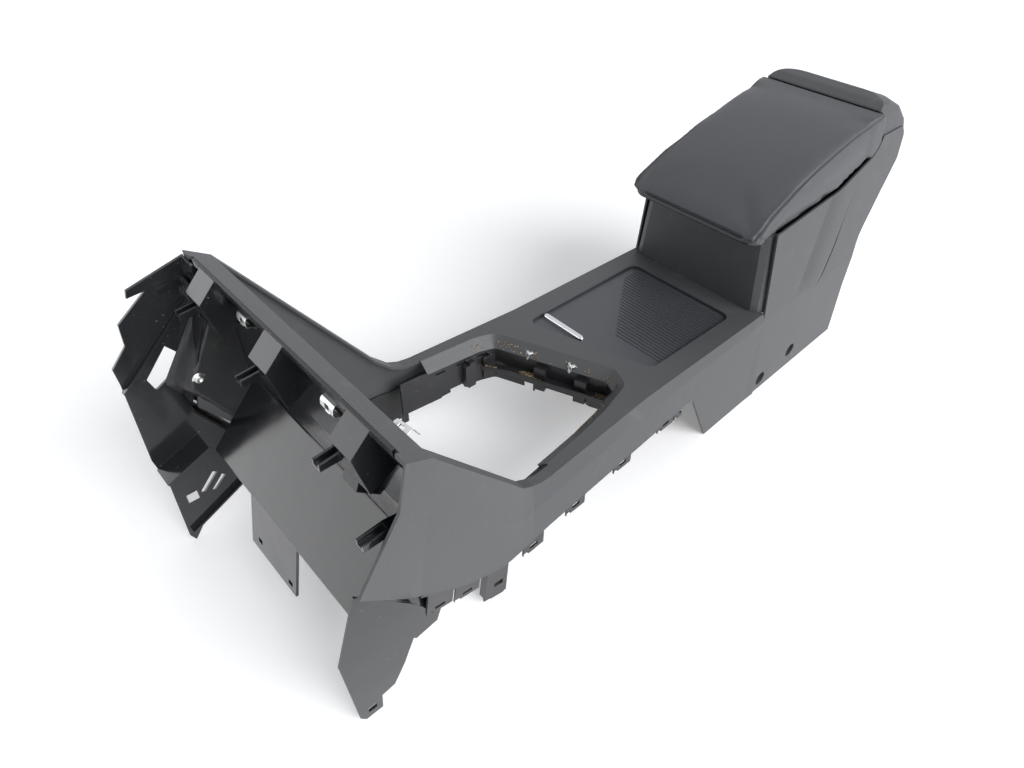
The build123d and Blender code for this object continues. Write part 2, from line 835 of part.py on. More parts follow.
# Cup tray hung from the rails
with BuildPart() as cup_tray:
    tray_top = cover_top - cover_thick - rail_clear - rail_wall
    cup_places = [(at(cup_back_run + step * cup_spacing), 0) for step in (0, 1)]
    tray_length = cup_spacing + 2 * cup_radius + 16.0
    with BuildSketch(Plane.XY.offset(tray_top - tray_wall)):
        with Locations((at(cup_back_run + cup_spacing / 2), 0)):
            RectangleRounded(tray_length, 2 * tray_half, 8.0)
    extrude(amount=tray_wall)
    with BuildSketch(Plane.XY.offset(tray_top - tray_depth)):
        with Locations(*cup_places):
            Circle(cup_radius + tray_wall)
    extrude(amount=tray_depth)
    with BuildSketch(Plane.XY.offset(tray_top - tray_depth + tray_wall)):
        with Locations(*cup_places):
            Circle(cup_radius)
    extrude(amount=tray_depth, mode=Mode.SUBTRACT)
finish(cup_tray.part, "cup_tray")

# Inner frame round the selector opening, with lugs on its inner side and a stepped lower edge
with BuildPart() as selector_frame:
    frame_top = deck_top - lip_drop
    with BuildSketch(Plane.XY.offset(frame_low)):
        add(mouth.sketch)
        offset(amount=-lip_drop + 1.5)
        offset(mouth.sketch, amount=-lip_drop - 1.0, mode=Mode.SUBTRACT)
    extrude(amount=frame_top - frame_low)
    for run, y, turn in frame_lugs:
        with BuildSketch(Plane.XY.offset(frame_low + 4.0)):
            with Locations(Location((at(recess_front_run + run), y, 0.0), (0, 0, turn))):
                Rectangle(lug_long, lug_deep)
        extrude(amount=frame_top - frame_low - 12.0)
    with BuildSketch(Plane.XY.offset(frame_low)):
        with Locations((at(deck_run), 0)):
            Rectangle(200.0, 400.0, align=(Align.MIN, Align.CENTER))
    extrude(amount=frame_top, mode=Mode.SUBTRACT)
    with BuildSketch(Plane.XZ):
        for run in (20.0, 118.0):
            with Locations((at(recess_front_run + run), frame_low)):
                Rectangle(36.0, 16.0)
    extrude(amount=reach_y, both=True, mode=Mode.SUBTRACT)
    with BuildSketch(Plane.XZ):
        for run in (72.0, 104.0, 136.0):
            with Locations((at(recess_front_run + run), frame_top - 9.0)):
                Rectangle(14.0, 3.5)
    extrude(amount=reach_y, both=True, mode=Mode.SUBTRACT)
finish(selector_frame.part, "selector_frame")

# Clip rails inside the lower edges of the trim, each with a large clip that hangs below it
rail_last_run = arm_top_run - 2.0
clip_runs = [170.0, 205.0, 290.0, deck_run - 75.0, deck_run - 5.0, arm_top_run - 62.0, arm_top_run - 27.0]
clip_heights = [82.0, 82.0, 72.0, 64.0, 52.0, 52.0, 60.0]
for side, name in ((1, "clip_rail_left"), (-1, "clip_rail_right")):
    with BuildPart() as clip_rail:
        add(lining(side, rail_gap, tray_wall, 170.0, rail_last_run, 30.0, 118.0))
        with BuildSketch(Plane.XZ):
            for run, z in zip(clip_runs, clip_heights):
                with Locations((at(run), z)):
                    Rectangle(32.0, 80.0, align=(Align.CENTER, Align.MIN))
            edge = [(170, 92), (deck_run - 30, 74), (deck_run + 50, 62), (deck_run + 105, 84)]
            with BuildLine():
                Polyline(*placed([*edge, (rail_last_run, 116), (rail_last_run, 140), (170, 140)]), close=True)
            make_face()
            for run, z in zip(clip_runs, clip_heights):
                with Locations((at(run), z + 9.0)):
                    Rectangle(12.0, 6.0, mode=Mode.SUBTRACT)
                with Locations((at(run + 12.0), z)):
                    Rectangle(7.0, 9.0, mode=Mode.SUBTRACT)
        extrude(amount=reach_y, both=True, mode=Mode.INTERSECT)
        hook_run = deck_run + 34.0
        add(lining(side, rail_gap, tray_wall, hook_run, hook_run + hook_long, 6.0, 72.0))
        add(lining(side, rail_gap, hook_deep, hook_run + 3.0, hook_run + hook_long - 9.0, 4.0, 20.0))
        add(lining(side, rail_gap, hook_deep, hook_run + hook_long - 4.0, hook_run + hook_long, 12.0, 62.0))
        add(lining(side, rail_gap, hook_deep, hook_run, hook_run + 3.5, 16.0, 62.0))
        with BuildSketch(Plane.XZ):
            with Locations((at(hook_run + hook_long / 2 - 3.0), 32.0)):
                Rectangle(12.0, 9.0)
        extrude(amount=reach_y, both=True, mode=Mode.SUBTRACT)
    finish(clip_rail.part, name)

# Hood rail behind the rim, with finger guides beside the hoods
with BuildPart() as hood_rail:
    face_line = [(609.0, 231.0), (606.0, 262.0), (606.5, 322.0), (615.0, 350.0), (625.0, 366.0), (625.6, 373.8)]
    with BuildSketch(Plane.XZ):
        with BuildLine():
            Polyline(*fore(backed(face_line, -rail_skin)), close=True)
        make_face()
    extrude(amount=reach_y, both=True)
    edge = ((0.0, 229.0), (0.0, 281.0), (4.0, 330.0), (19.0, 366.0))
    edge = [(arm_top_run + step, z * front_share) for step, z in edge]
    sides = [(inner_half(run, z) - hood_clear, z) for run, z in edge]
    neck = sides[-1][0] - band
    sides += [(neck, edge[-1][1]), (neck, edge[-1][1] + 10.0)]
    with BuildSketch(Plane.YZ.offset(at(arm_top_run - 42.0))):
        with BuildLine():
            Polyline(*sides, *[(-y, z) for y, z in reversed(sides)], close=True)
        make_face()
    extrude(amount=120.0, mode=Mode.INTERSECT)
    for y in hood_places:
        with BuildSketch(side_plane(y)):
            with BuildLine():
                Polyline(*fore([(625.0, 372.5), (645.0, 353.0), (634.0, 306.0), (605.0, 322.0), (614.0, 351.0)]), close=True)
            make_face()
        extrude(amount=hood_width / 2, both=True)
    guides = [(y - (hood_width + guide_width) / 2 + 2.0, 326.0) for y in hood_places] + [(guide_corner_y, 272.0)]
    for y, z in guides:
        with BuildSketch(side_plane(y)):
            with BuildLine():
                Polyline(
                    *fore([
                        (605.0, z - 14.0),
                        (605.0, z + 4.0),
                        (632.0, z + guide_height),
                        (630.0 + guide_length, z + guide_height - 2.0),
                        (630.0 + guide_length, z),
                        (628.0, z),
                    ]),
                    close=True,
                )
            make_face()
        extrude(amount=guide_width / 2, both=True)
    for y in hood_places:
        with BuildSketch(side_plane(y)):
            with BuildLine():
                Polyline(
                    *fore([(626.5, 367.5), (642.0, 352.0), (630.5, 300.0), (607.2, 300.0), (607.2, 322.0), (617.0, 352.5)]),
                    close=True,
                )
            make_face()
        extrude(amount=hood_width / 2 - hood_skin, both=True, mode=Mode.SUBTRACT)
    for y, z in guides:
        with BuildSketch(side_plane(y)):
            with BuildLine():
                Polyline(
                    *fore([(634.0, z + hood_skin), (634.0, z + 20.0), (672.0, z + 20.0), (672.0, z + hood_skin)]),
                    close=True,
                )
            make_face()
        extrude(amount=guide_width / 2 - hood_skin, both=True, mode=Mode.SUBTRACT)
    with BuildSketch(side_plane(lug_screw_y)):
        with BuildLine():
            Polyline(*fore([(606.5, 251.0), (607.0, 288.0), (619.0, 297.0), (629.0, 272.0)]), close=True)
        make_face()
    extrude(amount=screw_cup, both=True)
    face_dir = (25.0, 0.0, 10.0)
    with BuildSketch(Plane(origin=(at(624.0 + front_shift), lug_screw_y, 284.5 * front_share), z_dir=face_dir)):
        Circle(screw_bore)
    extrude(amount=-8.0, both=True, mode=Mode.SUBTRACT)
finish(hood_rail.part, "hood_rail")

# Sloped panel with its lower flange
with BuildPart() as sloped_panel:
    with BuildSketch(Plane.XZ):
        with BuildLine():
            Polyline(*fore(backed([panel_top, panel_low, flange_low], panel_skin)), close=True)
        make_face()
    extrude(amount=reach_y, both=True)
    high = (panel_top[1] + 5.0) * front_share
    low = (panel_low[1] - 2.0) * front_share
    with BuildSketch(Plane.YZ.offset(at(arm_top_run - 2.0))):
        with BuildLine():
            Polyline(
                (deck_half + 2.5, high),
                (deck_half + 17.5, low),
                (flange_y + flange_half, low),
                (flange_y + flange_half, 0.0),
                (flange_y - flange_half, 0.0),
                (flange_y - flange_half, low),
                (-deck_half - 30.5, low),
                (-deck_half - 22.5, high),
                close=True,
            )
        make_face()
        with Locations((flange_y - 28.0, 103.0), (flange_y + 36.0, 98.0)):
            Rectangle(8.0, 6.0, mode=Mode.SUBTRACT)
    extrude(amount=120.0, mode=Mode.INTERSECT)
finish(sloped_panel.part, "sloped_panel")

# Right front shell with its window, its return flange, its folds and a web that meets the far hood
shell_y = station(arm_top_run + 24.5, 1) - shell_skin
with BuildPart() as front_shell_right:
    shell_outline = [
        (627.5, 372.0), (652.0, 366.0), (688.0, 357.0), (690.0, 349.0), (672.0, 350.0),
        (706.0, 325.0), (708.0, 300.0), (727.0, 280.0), (726.0, 260.0), (730.0, 150.0),
        (724.0, 108.0), (727.0, 12.0), (722.0, 0.0), (700.0, 28.0), (645.0, 55.0), (625.0, 130.0),
        (674.0, 215.0), (633.0, 311.0),
    ]
    with BuildSketch(side_plane(-shell_y)):
        with BuildLine():
            Polyline(*fore(shell_outline), close=True)
        make_face()
    extrude(amount=shell_skin)
    for line, depth in (
        ([(627.5, 371.0), (633.0, 311.0), (674.0, 215.0)], return_deep),
        ([(676.0, 218.5), (625.0, 130.0)], return_foot_deep),
        ([(728.0, 252.0), (641.0, 329.0)], fold_deep),
        ([(729.5, 135.0), (676.0, 157.0)], ledge_deep),
        ([(722.5, 20.0), (700.0, 31.0), (646.0, 58.0)], fold_deep),
    ):
        with BuildSketch(side_plane(-shell_y)):
            with BuildLine():
                Polyline(*fore(backed(line, -fold_skin)), close=True)
            make_face()
        extrude(amount=-depth)
    with BuildSketch(side_plane(shell_skin - shell_y)):
        with BuildLine():
            Polyline(*fore([(702, 253), (674, 283), (662, 266), (660, 255), (697, 236)]), close=True)
        make_face()
        with Locations(fore([(706.5, 68.0)])[0]):
            Rectangle(13.0, 16.0)
        for slot in ([(693, 66), (697, 70), (676, 92), (671, 88)], [(681, 61), (684, 64), (667, 81), (663, 77)]):
            with BuildLine():
                Polyline(*fore(slot), close=True)
            make_face()
    extrude(amount=2 * shell_skin, mode=Mode.SUBTRACT)
    with BuildSketch(Plane.YZ.offset(at(arm_top_run + 32.0))):
        web_half = shell_y + hood_places[2] - hood_width / 2 - guide_width + 2.0 - rail_gap
        with Locations((-shell_y, 312.0 * front_share)):
            Rectangle(web_half, 36.0, align=(Align.MIN, Align.MIN))
    extrude(amount=shell_skin)
finish(front_shell_right.part, "front_shell_right")

# Left front bracket with its foot, an inner web, and a tongue that carries the sloped panel
with BuildPart() as front_bracket_left:
    with BuildSketch(side_plane(bracket_left_y)):
        with BuildLine():
            Polyline(
                *fore([
                    (604, 118), (612, 133), (650, 183), (671, 207), (700, 120), (694, 10), (688, 0), (668, 0),
                    (666, 22), (650, 25), (635, 50), (618, 88), (604, 92),
                ]),
                close=True,
            )
        make_face()
        with Locations(fore([(679.0, 13.0)])[0]):
            Rectangle(10.0, 8.0, mode=Mode.SUBTRACT)
    extrude(amount=shell_skin)
    with BuildSketch(side_plane(web_y)):
        with BuildLine():
            Polyline(
                *fore([(562, 70), (576, 32), (604, 27), (634, 62), (652, 100), (660, 140), (612, 116), (584, 90)]),
                close=True,
            )
        make_face()
    extrude(amount=-shell_skin)
    with BuildSketch(side_plane(bracket_left_y)):
        with BuildLine():
            Polyline(*fore(backed([(606, 96), (650, 124)], -shell_skin)), close=True)
        make_face()
    extrude(amount=bracket_left_y - web_y)
    tongue = [
        (part_way(panel_top[0], panel_low[0], share), part_way(panel_top[1], panel_low[1], share))
        for share in (0.78, 0.94)
    ]
    tongue = backed(tongue, panel_skin)[:1:-1]
    with BuildSketch(side_plane(bracket_left_y)):
        with BuildLine():
            Polyline(*fore(backed(tongue, shell_skin)), close=True)
        make_face()
    extrude(amount=bracket_left_y - web_y + 6.0)
finish(front_bracket_left.part, "front_bracket_left")
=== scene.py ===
"""Looks of a car centre console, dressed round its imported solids.

Each solid keeps its place and gets its finish. The armrest's padding is simulated as cloth and gets a
stitched seam. Spring clips, a screw, a ledge with dry crumbs, a strip behind the lid and a lining inside
the right arm are added; the lining's outline is guessed.
"""

import json
import logging
import math
from dataclasses import dataclass
from enum import Enum
from typing import Any, Iterable, Sequence, Union

import bmesh
import bpy
from bpy.types import ID, Material, Mesh, Node, NodeSocket, Object
from mathutils import Matrix, Vector
from mathutils.bvhtree import BVHTree
from mathutils.kdtree import KDTree


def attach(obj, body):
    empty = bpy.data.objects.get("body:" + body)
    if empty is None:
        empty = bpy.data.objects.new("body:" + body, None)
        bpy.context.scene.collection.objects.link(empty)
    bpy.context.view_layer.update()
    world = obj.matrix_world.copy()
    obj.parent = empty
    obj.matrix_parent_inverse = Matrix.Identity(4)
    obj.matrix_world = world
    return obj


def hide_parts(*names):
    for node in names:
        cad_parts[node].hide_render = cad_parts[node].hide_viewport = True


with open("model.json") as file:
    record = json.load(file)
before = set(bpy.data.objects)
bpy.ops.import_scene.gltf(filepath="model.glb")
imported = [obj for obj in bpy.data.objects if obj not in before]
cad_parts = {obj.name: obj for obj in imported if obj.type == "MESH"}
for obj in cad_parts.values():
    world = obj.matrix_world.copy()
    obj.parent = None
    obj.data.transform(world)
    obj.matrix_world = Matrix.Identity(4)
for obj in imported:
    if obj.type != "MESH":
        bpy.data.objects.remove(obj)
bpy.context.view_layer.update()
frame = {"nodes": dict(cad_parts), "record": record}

MM = 0.001
TOWER_X = -206.0
TOWER_SIDES = ("tower_panel_left", "tower_panel_right")
# Where search rays start, in millimetres: heights under the lid, over the lid and over the opening's
# lip, and a distance to each side of the middle.
UNDER_LID, OVER_LID, OVER_LIP, BESIDE = 200.0, 460.0, 300.0, 200.0
Triple = tuple[float, float, float]
Outline = tuple[tuple[float, float], ...]

log = logging.getLogger("console")


class Slot(Enum):
    """Material slots of the record."""

    TRIM = "trim_plastic"
    INNER = "inner_plastic"
    CARRIER = "carrier_plastic"
    COVER = "cover_plastic"
    LEATHER = "armrest_leather"
    CHROME = "handle_chrome"
    STEEL = "hinge_steel"


class Body(Enum):
    """Bodies of the frame."""

    CONSOLE = "console"
    LID = "armrest_lid"
    COVER = "sliding_cover"


def place(run: float, y: float, z: float) -> Vector:
    """Point in metres at a run forward of the tower's face, a Y to the left and a height in millimetres."""
    return Vector(((TOWER_X + run) * MM, y * MM, z * MM))


def clamped(value: float) -> float:
    """Keep a number between 0 and 1."""
    return min(1.0, max(0.0, value))


class Socket:
    """A number that a shader's nodes make, to which Python's operators add maths nodes."""

    def __init__(self, shader: "Shader", output: NodeSocket) -> None:
        """Wrap an output of one of a shader's nodes."""
        self.shader = shader
        self.output = output

    def _maths(self, operation: str, *values: Union["Socket", float]) -> "Socket":
        """Result of a maths node on values in order."""
        return self.shader.node("ShaderNodeMath", {"operation": operation}, dict(enumerate(values)))

    def __add__(self, other: Union["Socket", float]) -> "Socket":
        """Add."""
        return self._maths("ADD", self, other)

    def __mul__(self, other: Union["Socket", float]) -> "Socket":
        """Multiply."""
        return self._maths("MULTIPLY", self, other)

    def __sub__(self, other: Union["Socket", float]) -> "Socket":
        """Subtract."""
        return self._maths("SUBTRACT", self, other)

    def __rsub__(self, other: float) -> "Socket":
        """Subtract from a number."""
        return self._maths("SUBTRACT", other, self)

    __radd__ = __add__
    __rmul__ = __mul__

    def ramp(self, low: float, high: float) -> "Socket":
        """Rise smoothly from 0 at a low value to 1 at a high one.

        Args:
            low: Value at which the result is 0.
            high: Value at which the result is 1.

        Returns:
            The smooth step.
        """
        settings = {"interpolation_type": "SMOOTHSTEP"}
        values = {"Value": self, "From Min": low, "From Max": high}
        return self.shader.node("ShaderNodeMapRange", settings, values)


class Shader:
    """Node tree of one material, built round its principled surface."""

    def __init__(self, name: str) -> None:
        """Start a material.

        Args:
            name: Name of the material.
        """
        self.material = bpy.data.materials.new(name)
        self.material.use_nodes = True
        self.tree = self.material.node_tree
        self.surface = self.tree.nodes["Principled BSDF"]
        self.point = self.node("ShaderNodeTexCoord", output="Object")

    def node(
        self,
        kind: str,
        settings: dict[str, Any] | None = None,
        values: dict[Any, Any] | None = None,
        output: Union[int, str] = 0,
    ) -> Socket:
        """Add a node.

        Args:
            kind: Type of the node.
            settings: The node's own settings.
            values: Numbers, colours or sockets for the node's inputs.
            output: Which output is wanted.

        Returns:
            The wanted output.
        """
        made = self.tree.nodes.new(kind)
        for key, value in (settings or {}).items():
            setattr(made, key, value)
        for key, value in (values or {}).items():
            self.feed(made.inputs[key], value)
        return Socket(self, made.outputs[output])

    def feed(self, target: NodeSocket, value: Any) -> None:
        """Link a socket to an input, or set the input's own value.

        Args:
            target: Input of a node.
            value: Socket, number or colour.
        """
        if isinstance(value, Socket):
            self.tree.links.new(value.output, target)
        else:
            target.default_value = value

    def noise(self, size: float, detail: float = 3.0, vector: Socket | None = None) -> Socket:
        """Smooth noise whose blots have about a given size in metres."""
        values = {"Vector": vector or self.point, "Scale": 1.0 / size, "Detail": detail}
        return self.node("ShaderNodeTexNoise", None, values, "Fac")

    def cells(self, size: float, feature: str) -> Socket:
        """Distance inside cells of about a given size in metres."""
        values = {"Vector": self.point, "Scale": 1.0 / size}
        return self.node("ShaderNodeTexVoronoi", {"feature": feature}, values, "Distance")

    def mix(self, share: Union[Socket, float], first: Any, second: Any) -> Socket:
        """Mix two colours.

        Args:
            share: How much of the second colour is taken, from 0 to 1.
            first: First colour.
            second: Second colour.

        Returns:
            The mixed colour.
        """
        colours = [c if isinstance(c, Socket) else (*c, 1.0) for c in (first, second)]
        values = {0: share, 6: colours[0], 7: colours[1]}
        return self.node("ShaderNodeMix", {"data_type": "RGBA"}, values, 2)

    def rounded(self, radius: float) -> Socket:
        """Normal that rounds the solid's edges off by a radius in metres."""
        return self.node("ShaderNodeBevel", {"samples": 6}, {"Radius": radius}, "Normal")

    def relief(self, height: Socket, depth: float, normal: Socket | None = None) -> Socket:
        """Turn a height into a normal.

        Args:
            height: Height from 0 to 1.
            depth: Depth of the relief in metres.
            normal: Normal that the relief lies on.

        Returns:
            The normal.
        """
        values = {"Height": height, "Distance": depth, "Strength": 1.0}
        if normal:
            values["Normal"] = normal
        return self.node("ShaderNodeBump", None, values, "Normal")

    def finish(self, **sockets: Any) -> Material:
        """Set sockets of the surface, named in lower case with underscores.

        Args:
            sockets: Values of the surface's sockets.

        Returns:
            The finished material.
        """
        for key, value in sockets.items():
            name = key.replace("_", " ").title().replace("Ior", "IOR")
            if isinstance(value, tuple) and len(value) == 3:
                value = (*value, 1.0)
            self.feed(self.surface.inputs[name], value)
        return self.material


@dataclass(frozen=True)
class SunkBandShade:
    """Painted shade over the sunk band on the tower's sides, in millimetres. An edge is a run, its height and
    a lean.
    """

    front: Triple = (-128.7, 302.9, 0.301)
    back: Triple = (-177.5, 308.6, 0.158)
    fade: float = 48.0
    foot: tuple[float, float] = (138.0, 180.0)
    head: tuple[float, float] = (292.0, 306.0)

    def share(self, shader: Shader) -> Socket:
        """Share of painted shade at a point of the band: sharp in front, and soft behind.

        Args:
            shader: Shader whose point is asked.

        Returns:
            1 inside the band and 0 outside it.
        """
        # Painted shade: this share darkens the band's colour, standing in for the shade on its sunk floor.
        ahead, height = (
            shader.node("ShaderNodeSeparateXYZ", None, {0: shader.point}, axis) * (1 / MM) for axis in "XZ"
        )
        run = ahead - TOWER_X
        front, back = (first + (top - height) * lean for first, top, lean in (self.front, self.back))
        ends = height.ramp(*self.foot) * (1 - height.ramp(*self.head))
        return (run - back).ramp(0.0, self.fade) * (front - run).ramp(-1.0, 1.5) * ends


@dataclass(frozen=True)
class MouldedPlastic:
    """Moulded plastic with a fine grain, rounded edges, light wear and dust, and painted shade in a sunk band
    where asked.

    Sizes are in metres.
    """

    name: str
    colour: Triple
    worn: Triple
    roughness: float
    grain: float = 0.0009
    relief: float = 0.00006
    edge: float = 0.0008
    dust: float = 0.1
    coat: float = 0.0
    wave: float = 0.0
    # Strength of the painted shade in the tower's sunk band; 0 for none.
    band: float = 0.0

    def material(self) -> Material:
        """Build the material."""
        shader = Shader(self.name)
        pebbles = shader.cells(self.grain, "SMOOTH_F1")
        fine = shader.noise(self.grain * 0.6, 2.0)
        cloud = shader.noise(0.12, 4.0)
        rubbed = shader.noise(0.03, 5.0).ramp(0.52, 0.8) * cloud.ramp(0.45, 0.7)
        specks = shader.noise(0.004, 6.0).ramp(0.68, 0.76) * self.dust
        colour = shader.mix(rubbed * 0.6 + cloud * 0.15, self.colour, self.worn)
        colour = shader.mix(specks, colour, (0.32, 0.3, 0.27))
        # Painted shade: the sunk band's colour is darkened towards half, by the band's strength.
        if self.band:
            band_shade_colour = tuple(c * 0.5 for c in self.colour)
            colour = shader.mix(SunkBandShade().share(shader) * self.band, colour, band_shade_colour)
        height = pebbles * 0.8 + fine * 0.3
        normal = shader.rounded(self.edge)
        if self.wave:
            normal = shader.relief(shader.noise(0.07, 1.5), self.wave, normal)
        normal = shader.relief(height, self.relief, normal)
        roughness = self.roughness + (cloud - 0.5) * 0.12 + specks * 0.2 + (pebbles - 0.4) * 0.06
        return shader.finish(
            base_color=colour,
            roughness=roughness,
            normal=normal,
            coat_weight=self.coat,
            coat_roughness=0.12,
            specular_ior_level=0.5,
        )


@dataclass(frozen=True)
class SoftLeather:
    """Smooth upholstery leather with pores and shallow creases. Sizes are in metres."""

    name: str
    colour: Triple
    crest: Triple
    pore: float = 0.0011
    depth: float = 0.00012

    def material(self) -> Material:
        """Build the material."""
        shader = Shader(self.name)
        waves = shader.noise(0.05, 3.0)
        pores = shader.cells(self.pore, "DISTANCE_TO_EDGE").ramp(0.0, 0.16)
        creases = shader.noise(0.009, 6.0)
        colour = shader.mix(waves * 0.35 + pores * 0.25, self.colour, self.crest)
        height = pores * 0.5 + creases * 0.9
        roughness = 0.46 + (1 - pores) * 0.1 + (waves - 0.5) * 0.12
        return shader.finish(
            base_color=colour,
            roughness=roughness,
            normal=shader.relief(height, self.depth),
            sheen_weight=0.12,
            sheen_roughness=0.4,
            specular_ior_level=0.45,
        )


@dataclass(frozen=True)
class PlatedMetal:
    """Bright plated or zinc-coated metal with fine scratches. Sizes are in metres."""

    name: str
    colour: Triple
    stain: Triple
    roughness: float
    edge: float = 0.0004

    def material(self) -> Material:
        """Build the material."""
        shader = Shader(self.name)
        stretch = shader.node("ShaderNodeMapping", None, {"Vector": shader.point, "Scale": (1.0, 0.05, 1.0)})
        lines = shader.noise(0.0004, 3.0, stretch)
        spots = shader.noise(0.006, 5.0).ramp(0.6, 0.75)
        colour = shader.mix(spots * 0.5, self.colour, self.stain)
        return shader.finish(
            base_color=colour,
            metallic=1.0,
            roughness=self.roughness + lines * 0.1 + spots * 0.15,
            normal=shader.relief(lines, 0.00001, shader.rounded(self.edge)),
        )


@dataclass(frozen=True)
class Thread:
    """Twisted sewing thread. Sizes are in metres."""

    name: str
    colour: Triple

    def material(self) -> Material:
        """Build the material."""
        shader = Shader(self.name)
        twist = shader.noise(0.0006, 2.0)
        colour = shader.mix(twist, self.colour, tuple(c * 1.8 for c in self.colour))
        return shader.finish(base_color=colour, roughness=0.6, normal=shader.relief(twist, 0.0001))


@dataclass(frozen=True)
class DrySoil:
    """Dry crumbs of soil and lint. Sizes are in metres."""

    name: str

    def material(self) -> Material:
        """Build the material."""
        shader = Shader(self.name)
        blots = shader.noise(0.003, 4.0)
        colour = shader.mix(blots.ramp(0.4, 0.62), (0.09, 0.06, 0.035), (0.36, 0.28, 0.18))
        return shader.finish(base_color=colour, roughness=0.95, normal=shader.relief(blots, 0.0006))


class Finishes:
    """Every finish of the console, built once."""

    def __init__(self) -> None:
        """Build the materials."""
        self.trim = MouldedPlastic(
            "grained_trim", (0.056, 0.059, 0.063), (0.1, 0.1, 0.098), 0.5,
            grain=0.0024, relief=0.0002, dust=0.16,
        ).material()
        # The tower's sides get this finish, with painted shade in their sunk band.
        self.tower = MouldedPlastic(
            "grained_tower", (0.06, 0.063, 0.067), (0.105, 0.105, 0.103), 0.5,
            grain=0.0024, relief=0.0002, dust=0.16, band=0.6,
        ).material()
        self.inner = MouldedPlastic(
            "inner_black", (0.014, 0.0145, 0.016), (0.04, 0.04, 0.04), 0.36, grain=0.0014, dust=0.4
        ).material()
        self.carrier = MouldedPlastic(
            "smooth_carrier", (0.011, 0.012, 0.0135), (0.024, 0.025, 0.027), 0.16,
            grain=0.005, relief=0.0, dust=0.3, edge=0.0005, coat=0.3, wave=0.001,
        ).material()
        self.cover = MouldedPlastic(
            "ribbed_cover", (0.048, 0.052, 0.06), (0.08, 0.084, 0.092), 0.36, grain=0.0012, edge=0.0003
        ).material()
        self.leather = SoftLeather("soft_leather", (0.047, 0.049, 0.055), (0.082, 0.084, 0.092)).material()
        self.chrome = PlatedMetal("bright_chrome", (0.62, 0.63, 0.65), (0.45, 0.45, 0.46), 0.16).material()
        self.zinc = PlatedMetal("zinc_plate", (0.66, 0.67, 0.66), (0.4, 0.39, 0.35), 0.3).material()
        self.thread = Thread("seam_thread", (0.03, 0.031, 0.034)).material()
        self.soil = DrySoil("dry_soil").material()


def linked(name: str, data: ID) -> Object:
    """Link a new object with its data to the scene."""
    made = bpy.data.objects.new(name, data)
    bpy.context.scene.collection.objects.link(made)
    return made


def new_mesh(
    name: str,
    points: Iterable[Vector],
    edges: Sequence[Sequence[int]] = (),
    faces: Sequence[Sequence[int]] = (),
) -> Mesh:
    """Make a mesh.

    Args:
        name: Name of the mesh.
        points: Its points in metres.
        edges: Loose edges, as numbers of points.
        faces: Faces, as numbers of points.

    Returns:
        The mesh.
    """
    mesh = bpy.data.meshes.new(name)
    mesh.from_pydata([tuple(point) for point in points], edges, faces)
    return mesh


def shaded_smooth(mesh: Mesh) -> None:
    """Shade every face smoothly."""
    for face in mesh.polygons:
        face.use_smooth = True


def mended(mesh: Mesh) -> None:
    """Merge doubled points and turn every face outwards."""
    work = bmesh.new()
    work.from_mesh(mesh)
    bmesh.ops.remove_doubles(work, verts=work.verts, dist=0.00001)
    bmesh.ops.recalc_face_normals(work, faces=work.faces)
    work.to_mesh(mesh)
    work.free()


def grid_faces(rows: int, columns: int, around: bool = False) -> list[tuple[int, ...]]:
    """Number the faces between rows of points.

    Args:
        rows: Number of rows.
        columns: Number of points in a row.
        around: Whether the last row joins the first.

    Returns:
        The faces, row by row.
    """
    faces = []
    for row in range(rows if around else rows - 1):
        here, there = row * columns, (row + 1) % rows * columns
        faces += [(here + n, here + n + 1, there + n + 1, there + n) for n in range(columns - 1)]
    return faces


def swept(name: str, rings: Sequence[Sequence[Vector]]) -> Mesh:
    """Make a closed mesh through rings of points, with a cap at each end.

    Args:
        name: Name of the mesh.
        rings: Rings of as many points each, in metres.

    Returns:
        The mesh, with its faces turned outwards.
    """
    count, total = len(rings[0]), len(rings) * len(rings[0])
    faces = [
        (a * count + b, (a + 1) * count + b, (a + 1) * count + (b + 1) % count, a * count + (b + 1) % count)
        for a in range(len(rings) - 1) for b in range(count)
    ]
    faces += [tuple(range(count)), tuple(range(total - 1, total - 1 - count, -1))]
    mesh = new_mesh(name, [point for ring in rings for point in ring], faces=faces)
    mended(mesh)
    return mesh


def new_piece(name: str, mesh: Mesh, finish: Material) -> Object:
    """Link a new object with a mesh and a finish.

    Args:
        name: Name of the piece.
        mesh: Its mesh, in the scene's own place.
        finish: Its material.

    Returns:
        The object.
    """
    piece = linked(name, mesh)
    mesh.materials.clear()
    mesh.materials.append(finish)
    return piece


def baked(piece: Object) -> None:
    """Turn a piece's modifiers into its plain mesh."""
    graph = bpy.context.evaluated_depsgraph_get()
    made = bpy.data.meshes.new_from_object(piece.evaluated_get(graph), depsgraph=graph)
    piece.modifiers.clear()
    piece.data = made


def shaped(piece: Object, kind: str, **settings: Any) -> None:
    """Change a piece's plain mesh by one modifier.

    Args:
        piece: The piece.
        kind: Type of the modifier.
        settings: The modifier's own settings.
    """
    modifier = piece.modifiers.new(kind.title(), kind)
    for key, value in settings.items():
        setattr(modifier, key, value)
    baked(piece)


def tree_of(mesh: Mesh) -> BVHTree:
    """Search tree of a mesh."""
    work = bmesh.new()
    work.from_mesh(mesh)
    tree = BVHTree.FromBMesh(work)
    work.free()
    return tree


